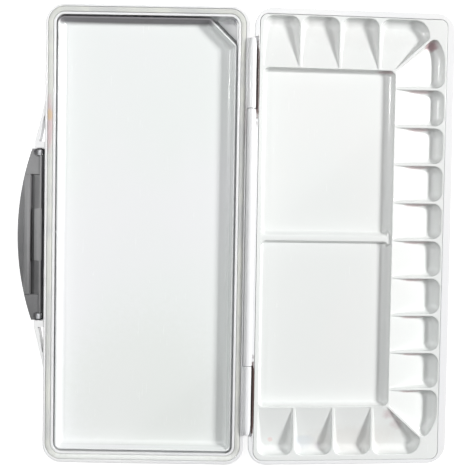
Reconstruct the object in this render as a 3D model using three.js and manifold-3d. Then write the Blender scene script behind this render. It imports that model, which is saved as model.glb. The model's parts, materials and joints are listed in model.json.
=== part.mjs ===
// Folding watercolour mixing palette, lying open: a deep case with a lift-out mixing tray, and a
// shallow lid with an inset well tray. Millimetres, +Z up. The origin is the middle of the case's
// underside, +X points from the case to the lid and +Y runs along the hinge.
import * as THREE from 'three';
import { mergeVertices } from 'three/addons/utils/BufferGeometryUtils.js';
import Module from 'manifold-3d';

const wasm = await Module();
wasm.setup();

// Driving dimensions, in millimetres unless the name says otherwise

// The two halves
const CASE_LENGTH = 300;
const CASE_WIDTH = 132.8;
const CASE_HEIGHT = 23;
const LID_DEPTH = 11.5;
const CORNER_RADIUS = 12.5;
const EDGE_RADIUS = 3;
const CASE_DRAFT = 2.4;
const LID_DRAFT = 1.5;
const RIM_ROUND = 0.6;
const CASE_FLOOR = 2;
const LID_FLOOR = 1.6;

// Clearances
const RUNNING_GAP = 0.3;
const SEAT_GAP = 0.2;
const CLOSED_GAP = 0.5;
const TABLE_GAP = 0.2;

// The case's rim, from its outer edge inwards: wall, gasket groove, inner ring
const RIM_WALL_LATCH = 1.6;
const RIM_WALL_UPPER = 1.6;
const RIM_WALL_LOWER = 2.2;
const RIM_WALL_HINGE = 2.7;
const GROOVE_WIDTH = 3.6;
const GROOVE_DEPTH = 3;
const INNER_RING = 1.6;
const GASKET_PROUD = 0.15;
const GASKET_CROWN = 0.5;

// The lift-out mixing tray
const TRAY_GAP = 0.9;
const TRAY_DROP = 1;
const TRAY_DEPTH = 5.8;
const TRAY_WALL = 1.5;
const TRAY_FLOOR = 1.6;
const TRAY_DRAFT = 1.2;
const TRAY_FILLET = 3;
const TRAY_FOOT_RADIUS = 0.8;
const TRAY_SKIRT_DRAFT = 2;
const TRAY_CORNER_RADIUS = 4;
const TRAY_CHAMFER = 17.5;
const TRAY_CHAMFER_RADIUS = 1.5;
const FINGER_SHELF_DROP = 12.5;
const FINGER_SHELF_GAP = 3.3;
const TRAY_LEDGE_WIDTH = 0.9;
const TRAY_LEDGE_DROP = 4.5;

// The hinge
const HALF_GAP = 1.4;
const KNUCKLE_RADIUS = 2.8;
const KNUCKLE_TIP_RADIUS = 2.1;
const KNUCKLE_TAPER = 7;
const KNUCKLE_END_GAP = 0.4;
const KNUCKLE_RELIEF = 0.4;
const LID_KNUCKLE_HALF = 0.28 * CASE_LENGTH;
const CASE_KNUCKLE_LENGTH = 0.152 * CASE_LENGTH;
const GUSSET_DROP = 4.2;
const GUSSET_DEPTH = 2.4;
const LID_RECESS_GAP = 1.1;
const LID_RECESS_MARGIN = 1;
const HINGE_PIN_RADIUS = 1.1;
const HINGE_PIN_REACH = 18;
const HINGE_PIN_INSET = 2.5;

// The lid's rim land round the well tray, and the lip that the latch hooks
const LID_LAND_HINGE = 3.2;
const LID_LAND_FAR = 5.4;
const LID_LAND_UPPER = 3.9;
const LID_LAND_LOWER = 2.5;
const LID_POCKET_RADIUS = 9.5;
const LIP_OVERHANG = 1;
const LIP_THICKNESS = 1.4;
const CATCH_POCKET_HEIGHT = 3.9;
const CATCH_POCKET_DEPTH = 1.8;
const CATCH_POCKET_MARGIN = 1.9;
const SUPPORT_RIB_WIDTH = 1.5;

// The well tray
const WELL_SKIN = 1.2;
const WELL_PLATE = 1.6;
const WELL_RIM_HINGE = 2.7;
const WELL_RIM_FAR = 1.2;
const WELL_RIM_UPPER = 1.7;
const WELL_RIM_LOWER = 2.8;
const WELL_LENGTH_FAR = 32.5;
const WELL_DEPTH = 8;
const WELL_START_DEPTH = 0.3;
const WELL_FIRST_WIDTH = 23.2;
const WELL_PARTITION = 1.6;
const WELL_CORNER_RADIUS = 5.8;
const WELL_LIP_RADIUS = 0.8;
const WELL_END_WIDTH = 6;
const WELL_SIDE_WIDTH = 5;
const WELL_FLOOR_RADIUS = 3;
const END_WELLS = 3;
const SIDE_WELLS = 8;
const CORNER_WELL_SHARE = 11.4;
const CORNER_WELL_BACK = 10.8;
const CORNER_WELL_RADIUS = 8.7;
const CORNER_WELL_TIP_RADIUS = 6;
const CORNER_WELL_REACH = 11.9;
const CORNER_WELL_SLANT = 0.6;
const SIDE_CORNER_RADIUS = 22;
const SIDE_CORNER_TIP_RADIUS = 4;
const SIDE_CORNER_REACH = 10.2;
const SIDE_CORNER_SLANT = 10.7;
const DIAGONAL_DROP = 5.15;
const MIX_END_MARGIN = 38.6;
const MIX_DEPTH = 5.5;
const MIX_SLOPES = [2.6, 5.5, 2.6, 2.6];
const MIX_CORNER_RADIUS = 4;
const MIX_RIB = 4;
const MIX_RIB_OFFSET = 1;
const MIX_RIB_DROP = 1.4;

// The latch and the ears that carry it
const PIVOT_OUT = 3.8;
const PIVOT_DROP = 3.2;
const LATCH_HALF_LENGTH = 0.187 * CASE_LENGTH;
const LATCH_REACH = 13.9;
const LATCH_END_REACH = 4.6;
const LATCH_HEEL = 2.9;
const LATCH_FACE = 3;
const LATCH_BACK = 2.8;
const LATCH_EDGE_ROUND = 1;
const HEEL_FACE = -0.8;
const HEEL_START = 1.1;
const LATCH_NOTCH_LENGTH = 4.3;
const LATCH_NOTCH_REACH = 2.4;
const LATCH_NOTCH_HEEL = 2.1;
const LATCH_NOTCH_END = 0.7;
const LEDGE_END = -0.8;
const CATCH_HALF_LENGTH = 0.13 * CASE_LENGTH;
const RIDGE_START = 5.4;
const RIDGE_WIDTH = 3.2;
const RIDGE_FACE = 4;
const RIDGE_SLOPE = 1.3;
const RECESS_FACE = -1;
const RECESS_FACE_LEDGE = 2.3;
const FIELD_FACE_START = 2.4;
const FIELD_FACE_END = 1.5;
const TONGUE_HALF_LENGTH = 0.056 * CASE_LENGTH;
const TONGUE_START = 2.5;
const TONGUE_END = 2;
const TONGUE_FACE = 3.2;
const TONGUE_SLOT_WIDTH = 1.1;
const TONGUE_SLOT_FACE = -1.6;
const LATCH_PIN_RADIUS = 1.6;
const LATCH_PIN_BEARING = 4.3;
const EAR_WALL = 4.3;
const EAR_REACH = 6.4;
const EAR_SLANT_LENGTH = 27;
const EAR_SKIN = 2.6;
const EAR_HOLE_LENGTH = 20;
const EAR_TOP_DROP = 0.4;
const EAR_HEIGHT = 8.6;

// How finely round shapes are drawn
const CORNER_STEPS = 6;
const RECESS_STEPS = 8;
const WELL_STEPS = 3;
const ROUND_SIDES = 20;
const FILLET_STEPS = 3;
const ARC_POINTS = 16;
const LEAST_RADIUS = 0.3;
const FILLET_SHARE = 0.95;

// Places worked out from the driving dimensions

const HALF_LENGTH = CASE_LENGTH / 2;
const HALF_WIDTH = CASE_WIDTH / 2;
const AXIS_RISE = CLOSED_GAP / 2;
const AXIS_X = HALF_WIDTH + HALF_GAP;
const AXIS_Z = CASE_HEIGHT + AXIS_RISE;
const THROUGH = 1;

// Angle at which the open lid's far lower edge comes down to the table
function restTilt() {
  const reach = HALF_GAP + CASE_WIDTH - LID_DRAFT - EDGE_RADIUS;
  const drop = AXIS_RISE + LID_DEPTH - EDGE_RADIUS;
  const fall = AXIS_Z - EDGE_RADIUS - TABLE_GAP;
  return Math.asin(fall / Math.hypot(reach, drop)) - Math.atan2(drop, reach);
}
const REST_TILT = restTilt();

// Mesh and solid helpers

// A closed three.js geometry as a solid, with its shared vertices merged
function solid(geometry) {
  const bare = geometry.clone();
  bare.deleteAttribute('normal');
  bare.deleteAttribute('uv');
  const merged = mergeVertices(bare, 1e-4);
  const index = merged.index.array;
  const triangles = [];
  for (let i = 0; i < index.length; i += 3) {
    const [a, b, c] = [index[i], index[i + 1], index[i + 2]];
    if (a !== b && b !== c && c !== a) triangles.push(a, b, c);
  }
  return new wasm.Manifold(new wasm.Mesh({
    numProp: 3,
    vertProperties: Float32Array.from(merged.attributes.position.array),
    triVerts: Uint32Array.from(triangles),
  }));
}

// A solid's surface as a three.js geometry
function surface(body) {
  const mesh = body.getMesh();
  const geometry = new THREE.BufferGeometry();
  geometry.setAttribute('position', new THREE.BufferAttribute(Float32Array.from(mesh.vertProperties), 3));
  geometry.setIndex(Array.from(mesh.triVerts));
  geometry.computeVertexNormals();
  return geometry;
}

function join(bodies) {
  return bodies.reduce((whole, body) => whole.add(body));
}

function cut(body, tools) {
  return tools.reduce((rest, tool) => rest.subtract(tool), body);
}

// Four corners of an upright rectangle, anticlockwise; its edges run lower, right, upper, left
function rectangle(x0, x1, y0, y1) {
  return [[x0, y0], [x1, y0], [x1, y1], [x0, y1]];
}

// Where two lines meet, each given by a point on it and its direction
function meeting(a, alongA, b, alongB) {
  const travel = b.clone().sub(a).cross(alongB) / alongA.cross(alongB);
  return a.clone().addScaledVector(alongA, travel);
}

// A convex outline with rounded corners. Edge i runs from corner i to the next one and moves
// inwards by its inset. A corner's radius shrinks with the insets of its two edges, and is kept
// short enough for the edges that it joins.
function outline(corners, radii, inset = 0, steps = CORNER_STEPS) {
  const count = corners.length;
  const pick = (value, i) => (Array.isArray(value) ? value[i] : value);
  const edges = corners.map(([x, y], i) => {
    const [nextX, nextY] = corners[(i + 1) % count];
    const along = new THREE.Vector2(nextX - x, nextY - y).normalize();
    const inward = new THREE.Vector2(-along.y, along.x);
    const point = new THREE.Vector2(x, y).addScaledVector(inward, pick(inset, i));
    return { point, along, inward, moved: pick(inset, i) };
  });
  const turns = edges.map((after, i) => {
    const before = edges[(i + count - 1) % count];
    const corner = meeting(before.point, before.along, after.point, after.along);
    const angle = Math.acos(THREE.MathUtils.clamp(before.inward.dot(after.inward), -1, 1));
    const radius = Math.max(pick(radii, i) - (before.moved + after.moved) / 2, LEAST_RADIUS);
    return { corner, angle, radius, before, after, taken: radius * Math.tan(angle / 2) };
  });
  const fits = turns.map((turn, i) => {
    const next = turns[(i + 1) % count];
    return Math.min(1, (FILLET_SHARE * turn.corner.distanceTo(next.corner)) / (turn.taken + next.taken));
  });
  const points = [];
  turns.forEach(({ corner, angle, radius, before, after }, i) => {
    const fitted = radius * Math.min(fits[i], fits[(i + count - 1) % count]);
    const bisector = before.inward.clone().add(after.inward);
    const centre = corner.clone().addScaledVector(bisector, fitted / (1 + before.inward.dot(after.inward)));
    const start = before.inward.angle();
    for (let step = 0; step <= steps; step += 1) {
      const direction = start + (angle * step) / steps;
      points.push(new THREE.Vector2(
        centre.x - fitted * Math.cos(direction), centre.y - fitted * Math.sin(direction)));
    }
  });
  return points;
}

// A closed solid through a stack of outlines with as many points each, listed from the lowest.
// A level's height is a number, or a function of the point.
function stack(levels) {
  const count = levels[0].points.length;
  const positions = [];
  for (const { points, height } of levels) {
    for (const point of points) {
      positions.push(point.x, point.y, typeof height === 'function' ? height(point) : height);
    }
  }
  const index = [];
  for (let level = 0; level + 1 < levels.length; level += 1) {
    for (let i = 0; i < count; i += 1) {
      const a = level * count + i;
      const b = level * count + ((i + 1) % count);
      index.push(a, b, b + count, a, b + count, a + count);
    }
  }
  const lowest = THREE.ShapeUtils.triangulateShape(levels[0].points, []);
  for (const [a, b, c] of lowest) index.push(a, c, b);
  const top = (levels.length - 1) * count;
  const highest = THREE.ShapeUtils.triangulateShape(levels[levels.length - 1].points, []);
  for (const [a, b, c] of highest) index.push(top + a, top + b, top + c);
  const geometry = new THREE.BufferGeometry();
  geometry.setAttribute('position', new THREE.Float32BufferAttribute(positions, 3));
  geometry.setIndex(index);
  return solid(geometry);
}

function prism(points, low, high) {
  return stack([{ points, height: low }, { points, height: high }]);
}

function block(x0, x1, y0, y1, z0, z1) {
  const box = new THREE.BoxGeometry(x1 - x0, y1 - y0, z1 - z0);
  return solid(box.translate((x0 + x1) / 2, (y0 + y1) / 2, (z0 + z1) / 2));
}

// A round bar along Y between two ends, about the line at x, z
function bar(radius, y0, y1, x = 0, z = 0) {
  const cylinder = new THREE.CylinderGeometry(radius, radius, y1 - y0, ROUND_SIDES);
  return solid(cylinder.translate(x, (y0 + y1) / 2, z));
}

// A flat shape in the XZ plane carried along Y
function along(points, y0, y1) {
  const shape = new THREE.Shape(points.map(([x, z]) => new THREE.Vector2(x, z)));
  const geometry = new THREE.ExtrudeGeometry(shape, { depth: y1 - y0, bevelEnabled: false });
  return solid(geometry.rotateX(Math.PI / 2).translate(0, y1, 0));
}

function mirrored(build) {
  return [1, -1].map((side) => build(side));
}

// The same length along the hinge on the upper or the lower side
function span(side, near, far) {
  return side > 0 ? [near, far] : [-far, -near];
}

// Levels of a quarter round that comes in by its radius at one end of a wall
function quarterRound(radius, steps) {
  return Array.from({ length: steps + 1 }, (_, i) => {
    const angle = (Math.PI / 2) * (i / steps);
    return { inset: radius * (1 - Math.sin(angle)), height: radius * (1 - Math.cos(angle)) };
  });
}

// Case

const CASE_OUTLINE = rectangle(-HALF_WIDTH, HALF_WIDTH, -HALF_LENGTH, HALF_LENGTH);
const RIM_WALLS = [RIM_WALL_LOWER, RIM_WALL_HINGE, RIM_WALL_UPPER, RIM_WALL_LATCH];
const shift = (values, amount) => values.map((value) => value + amount);
const GROOVE_INNER = shift(RIM_WALLS, GROOVE_WIDTH);
const INTERIOR = shift(GROOVE_INNER, INNER_RING);

// The case's outside: rounded foot, drafted walls and a small round at the rim
function caseOutside() {
  const levels = quarterRound(EDGE_RADIUS, FILLET_STEPS)
    .map(({ inset, height }) => ({ inset: CASE_DRAFT + inset, height }));
  levels.push({ inset: 0, height: CASE_HEIGHT - RIM_ROUND });
  levels.push({ inset: RIM_ROUND, height: CASE_HEIGHT });
  return stack(levels.map(({ inset, height }) => (
    { points: outline(CASE_OUTLINE, CORNER_RADIUS, inset), height })));
}

function caseOutlineAt(insets) {
  return outline(CASE_OUTLINE, CORNER_RADIUS, insets);
}

// A case knuckle with its tapered outer end and the gusset under it
function caseKnuckle(side) {
  const near = LID_KNUCKLE_HALF + KNUCKLE_END_GAP;
  const far = near + CASE_KNUCKLE_LENGTH;
  const profile = [
    [0, near], [KNUCKLE_RADIUS, near], [KNUCKLE_RADIUS, far - KNUCKLE_TAPER],
    [KNUCKLE_TIP_RADIUS, far], [0, far],
  ].map(([radius, y]) => new THREE.Vector2(radius, side * y));
  if (side < 0) profile.reverse();
  const barrel = solid(new THREE.LatheGeometry(profile, ROUND_SIDES).translate(AXIS_X, 0, AXIS_Z));
  const [y0, y1] = span(side, near, far - KNUCKLE_TAPER);
  const wallX = AXIS_X - HALF_GAP - GUSSET_DEPTH;
  const gusset = along([
    [wallX, AXIS_Z - KNUCKLE_RADIUS - GUSSET_DROP], [AXIS_X, AXIS_Z - KNUCKLE_RADIUS],
    [AXIS_X, AXIS_Z - AXIS_RISE], [wallX, AXIS_Z - AXIS_RISE],
  ], y0, y1);
  return barrel.add(gusset);
}

const PIVOT_X = -HALF_WIDTH - PIVOT_OUT;
const PIVOT_Z = CASE_HEIGHT - PIVOT_DROP;
const EAR_NEAR = LATCH_HALF_LENGTH + RUNNING_GAP;
const EAR_TOP = CASE_HEIGHT - EAR_TOP_DROP;

// A wedge-shaped ear beside the latch, with its slanted wall and open middle
function latchEar(side) {
  const rootX = -HALF_WIDTH + RIM_WALL_LATCH + GROOVE_WIDTH;
  const outX = -HALF_WIDTH - EAR_REACH;
  const far = EAR_NEAR + EAR_WALL + EAR_SLANT_LENGTH;
  const body = [[rootX, EAR_NEAR], [rootX, far], [-HALF_WIDTH, far], [outX, EAR_NEAR + EAR_WALL], [outX, EAR_NEAR]];
  const holeNear = EAR_NEAR + EAR_WALL;
  const hole = [[-HALF_WIDTH, holeNear], [-HALF_WIDTH, holeNear + EAR_HOLE_LENGTH], [outX + EAR_SKIN, holeNear]];
  const upright = (points, low, high) => {
    const corners = points.map(([x, y]) => new THREE.Vector2(x, side * y));
    if (THREE.ShapeUtils.isClockWise(corners)) corners.reverse();
    return prism(corners, low, high);
  };
  return upright(body, EAR_TOP - EAR_HEIGHT, EAR_TOP)
    .subtract(upright(hole, EAR_TOP - EAR_HEIGHT - THROUGH, EAR_TOP + THROUGH));
}

// The shelf in the case's corner beyond the tray's cut corner, where a fingertip goes
function fingerShelf() {
  const [, [trayRight], , [, trayTop]] = trayOutline();
  const right = HALF_WIDTH - INTERIOR[1] + THROUGH;
  const top = HALF_LENGTH - INTERIOR[2] + THROUGH;
  const cutLine = trayRight + trayTop - TRAY_CHAMFER + FINGER_SHELF_GAP * Math.SQRT2;
  const corners = [[right, cutLine - right], [right, top], [cutLine - top, top]];
  return prism(corners.map(([x, y]) => new THREE.Vector2(x, y)), CASE_FLOOR / 2, CASE_HEIGHT - FINGER_SHELF_DROP);
}

function baseCase() {
  const whole = join([caseOutside(), ...mirrored(caseKnuckle), ...mirrored(latchEar)]);
  const ledge = [0, TRAY_LEDGE_WIDTH, 0, TRAY_LEDGE_WIDTH];
  const interior = prism(
    caseOutlineAt(INTERIOR.map((inset, i) => inset + ledge[i])), CASE_FLOOR, CASE_HEIGHT + THROUGH);
  const mouth = prism(caseOutlineAt(INTERIOR), CASE_HEIGHT - TRAY_LEDGE_DROP, CASE_HEIGHT + THROUGH);
  const grooveLow = CASE_HEIGHT - GROOVE_DEPTH;
  const groove = prism(caseOutlineAt(RIM_WALLS), grooveLow, CASE_HEIGHT + THROUGH)
    .subtract(prism(caseOutlineAt(GROOVE_INNER), grooveLow - THROUGH, CASE_HEIGHT + 2 * THROUGH));
  const lidKnuckle = LID_KNUCKLE_HALF + KNUCKLE_END_GAP;
  const relief = bar(KNUCKLE_RADIUS + KNUCKLE_RELIEF, -lidKnuckle, lidKnuckle, AXIS_X, AXIS_Z);
  const hingeBores = mirrored((side) => bar(
    HINGE_PIN_RADIUS + RUNNING_GAP,
    ...span(side, LID_KNUCKLE_HALF, lidKnuckle + CASE_KNUCKLE_LENGTH + THROUGH), AXIS_X, AXIS_Z));
  const latchBores = mirrored((side) => bar(
    LATCH_PIN_RADIUS + RUNNING_GAP,
    ...span(side, EAR_NEAR - THROUGH, EAR_NEAR + EAR_WALL + THROUGH), PIVOT_X, PIVOT_Z));
  return cut(whole, [interior, mouth, groove, relief, ...hingeBores, ...latchBores]).add(fingerShelf());
}

// Gasket: a soft ring in the case's groove, crowned a little above the rim
function rimGasket() {
  const low = CASE_HEIGHT - GROOVE_DEPTH + SEAT_GAP;
  const high = CASE_HEIGHT + GASKET_PROUD;
  const ring = (insets, crown) => stack([
    { points: caseOutlineAt(insets), height: low },
    { points: caseOutlineAt(insets), height: high - GASKET_CROWN },
    { points: caseOutlineAt(shift(insets, crown)), height: high },
  ]);
  const outside = ring(shift(RIM_WALLS, SEAT_GAP), GASKET_CROWN);
  const insets = shift(GROOVE_INNER, -SEAT_GAP);
  const inside = stack([
    { points: caseOutlineAt(insets), height: low - THROUGH },
    { points: caseOutlineAt(insets), height: high - GASKET_CROWN },
    { points: caseOutlineAt(shift(insets, -GASKET_CROWN)), height: high },
    { points: caseOutlineAt(shift(insets, -GASKET_CROWN)), height: high + THROUGH },
  ]);
  return outside.subtract(inside);
}

// Mixing tray

// The tray's outline: the case's opening less a gap, with one corner cut off as a finger hold
function trayOutline() {
  const [lower, hinge, upper, latch] = INTERIOR.map((inset) => inset + TRAY_GAP);
  const x0 = -HALF_WIDTH + latch;
  const x1 = HALF_WIDTH - hinge;
  const y0 = -HALF_LENGTH + lower;
  const y1 = HALF_LENGTH - upper;
  return [[x0, y0], [x1, y0], [x1, y1 - TRAY_CHAMFER], [x1 - TRAY_CHAMFER, y1], [x0, y1]];
}

// A shallow pan on a skirt that stands on the case's floor and is open underneath
function mixingTray() {
  const corners = trayOutline();
  const radii = [TRAY_CORNER_RADIUS, TRAY_CORNER_RADIUS, TRAY_CHAMFER_RADIUS, TRAY_CHAMFER_RADIUS, TRAY_CORNER_RADIUS];
  const low = CASE_FLOOR + RUNNING_GAP;
  const high = CASE_HEIGHT - TRAY_DROP;
  const panFloor = high - TRAY_DEPTH;
  const rounded = (skin, draft, radius, floor, top) => {
    const levels = quarterRound(radius, FILLET_STEPS)
      .map(({ inset, height }) => ({ inset: skin + draft + inset, height: floor + height }));
    levels.push({ inset: skin, height: top });
    return stack(levels.map(({ inset, height }) => (
      { points: outline(corners, radii, inset, WELL_STEPS), height })));
  };
  const outside = rounded(0, TRAY_SKIRT_DRAFT, TRAY_FOOT_RADIUS, low, high);
  const pan = rounded(TRAY_WALL, TRAY_DRAFT, TRAY_FILLET, panFloor, high + SEAT_GAP);
  const underside = prism(
    outline(corners, radii, TRAY_WALL + TRAY_SKIRT_DRAFT, WELL_STEPS), low - THROUGH, panFloor - TRAY_FLOOR);
  return cut(outside, [pan, underside]);
}

// Lid, drawn flat: X from the hinge axis outwards, Z from the plane of its rim

const LID_NEAR = HALF_GAP;
const LID_BODY_FAR = HALF_GAP + CASE_WIDTH;
const LID_FAR = LID_BODY_FAR + LIP_OVERHANG;
const LID_OUTLINE = rectangle(LID_NEAR, LID_FAR, -HALF_LENGTH, HALF_LENGTH);
const LID_LANDS = [LID_LAND_LOWER, LID_LAND_FAR, LID_LAND_UPPER, LID_LAND_HINGE];
const POCKET_FLOOR = -LID_DEPTH + LID_FLOOR;

// Edges of the mixing area and of the wells round it
const MIX_NEAR = LID_NEAR + LID_LAND_HINGE + RUNNING_GAP + WELL_RIM_HINGE;
const WELL_FAR = LID_FAR - LID_LAND_FAR - RUNNING_GAP - WELL_RIM_FAR;
const WELL_END = HALF_LENGTH - LID_LAND_UPPER - RUNNING_GAP + WELL_PARTITION / 2;
const MIX_FAR = WELL_FAR - WELL_LENGTH_FAR - WELL_PARTITION / 2;
const MIX_HALF_LENGTH = HALF_LENGTH - MIX_END_MARGIN;
const SIDE_HALF_SPAN = MIX_HALF_LENGTH - CORNER_WELL_SHARE;
const CORNER_WELL_FAR = WELL_FAR - CORNER_WELL_REACH + WELL_RIM_FAR;

// The lid's outside: rounded foot, drafted walls, and on its far side a lip that overhangs the wall
function lidOutside() {
  const level = (inset, height, farExtra) => ({
    points: outline(LID_OUTLINE, CORNER_RADIUS, [inset, inset + farExtra, inset, inset]), height,
  });
  const foot = quarterRound(EDGE_RADIUS, FILLET_STEPS)
    .map(({ inset, height }) => level(LID_DRAFT + inset, height - LID_DEPTH, LIP_OVERHANG));
  return stack([
    ...foot,
    level(0, -LIP_THICKNESS, LIP_OVERHANG),
    level(0, -LIP_THICKNESS, 0),
    level(0, -RIM_ROUND, 0),
    level(RIM_ROUND, 0, 0),
  ]);
}

// The lid's pocket, which narrows towards its floor; with a gap it is the room for what sits in it
function pocketShape(gap, low, high) {
  const level = (height) => {
    const insets = shift(LID_LANDS, gap + (LID_DRAFT * height) / POCKET_FLOOR);
    return { points: outline(LID_OUTLINE, LID_POCKET_RADIUS, insets), height };
  };
  return stack([level(low), level(high)]);
}

function lidKnuckle() {
  const barrel = bar(KNUCKLE_RADIUS, -LID_KNUCKLE_HALF, LID_KNUCKLE_HALF, 0, AXIS_RISE);
  const gusset = along([
    [0, AXIS_RISE - KNUCKLE_RADIUS],
    [HALF_GAP + GUSSET_DEPTH, AXIS_RISE - KNUCKLE_RADIUS - GUSSET_DROP],
    [HALF_GAP + GUSSET_DEPTH, 0], [0, 0],
  ], -LID_KNUCKLE_HALF, LID_KNUCKLE_HALF);
  return barrel.add(gusset);
}

// Ribs on the lid's floor that carry the well tray: one under the far wells, two under the dishes
function supportRibs() {
  const rib = (x, top) => block(
    x - SUPPORT_RIB_WIDTH / 2, x + SUPPORT_RIB_WIDTH / 2, -SIDE_HALF_SPAN, SIDE_HALF_SPAN,
    POCKET_FLOOR - LID_FLOOR / 2, top);
  const dishLow = -MIX_DEPTH - WELL_SKIN - SEAT_GAP;
  const wellLow = -WELL_DEPTH - WELL_SKIN - SEAT_GAP;
  const third = (MIX_FAR - MIX_NEAR) / 3;
  return [
    rib(MIX_NEAR + third, dishLow),
    rib(MIX_FAR - third, dishLow),
    rib(WELL_FAR - WELL_END_WIDTH, wellLow),
  ];
}

function lidShell() {
  const pocket = pocketShape(0, POCKET_FLOOR, THROUGH);
  const recesses = mirrored((side) => bar(
    KNUCKLE_RADIUS + LID_RECESS_GAP,
    ...span(side, LID_KNUCKLE_HALF, LID_KNUCKLE_HALF + KNUCKLE_END_GAP + CASE_KNUCKLE_LENGTH + LID_RECESS_MARGIN),
    0, AXIS_RISE));
  const bores = mirrored((side) => bar(
    HINGE_PIN_RADIUS + RUNNING_GAP,
    ...span(side, LID_KNUCKLE_HALF - HINGE_PIN_REACH - HINGE_PIN_INSET, LID_KNUCKLE_HALF + THROUGH), 0, AXIS_RISE));
  const catchHalf = CATCH_HALF_LENGTH + CATCH_POCKET_MARGIN;
  const catchPocket = block(
    LID_FAR - CATCH_POCKET_DEPTH, LID_FAR + THROUGH, -catchHalf, catchHalf,
    -LIP_THICKNESS - CATCH_POCKET_HEIGHT, -LIP_THICKNESS);
  const shell = cut(lidOutside(), [pocket, ...recesses, catchPocket]);
  return cut(join([shell, ...supportRibs(), lidKnuckle()]), bores);
}

// Well tray: a plate with dished areas and wells, each with its own skin below

// The corners of a well's floor. Each edge of the mouth moves inwards by the width of its wall,
// at either end in proportion to the depth there.
function floorCorners(corners, widths, depthShare) {
  const edges = corners.map(([x, y], i) => {
    const [nextX, nextY] = corners[(i + 1) % corners.length];
    const inward = new THREE.Vector2(y - nextY, nextX - x).normalize();
    const from = new THREE.Vector2(x, y).addScaledVector(inward, widths[i] * depthShare(x, y));
    const to = new THREE.Vector2(nextX, nextY).addScaledVector(inward, widths[i] * depthShare(nextX, nextY));
    return { from, along: to.clone().sub(from).normalize() };
  });
  return edges.map((after, i) => {
    const before = edges[(i + edges.length - 1) % edges.length];
    return meeting(before.from, before.along, after.from, after.along).toArray();
  });
}

// A well whose floor falls along one direction, with rounded walls that widen as it deepens.
// Grown and deepened by a skin it is the well's underside.
function rampWell({ corners, radii, widths, from, to, direction }, skin) {
  const depth = (x, y) => {
    const fall = (x * direction[0] + y * direction[1] - from) / (to - from);
    return WELL_START_DEPTH + (WELL_DEPTH - WELL_START_DEPTH) * THREE.MathUtils.clamp(fall, 0, 1);
  };
  const floor = floorCorners(corners, widths, (x, y) => depth(x, y) / WELL_DEPTH);
  const steps = skin > 0 ? WELL_STEPS - 1 : WELL_STEPS;
  const levels = quarterRound(1, steps).map(({ inset, height }) => ({
    points: outline(
      corners.map(([x, y], i) => [x + (floor[i][0] - x) * inset, y + (floor[i][1] - y) * inset]),
      radii.map((radius) => radius + (WELL_FLOOR_RADIUS - radius) * inset), -skin, steps),
    height: (point) => -(depth(point.x, point.y) + skin) * (1 - height),
  }));
  if (skin > 0) levels.pop();
  levels.push({ points: outline(corners, radii, -skin, steps), height: skin > 0 ? -WELL_PLATE / 2 : THROUGH });
  return stack(levels);
}

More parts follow.
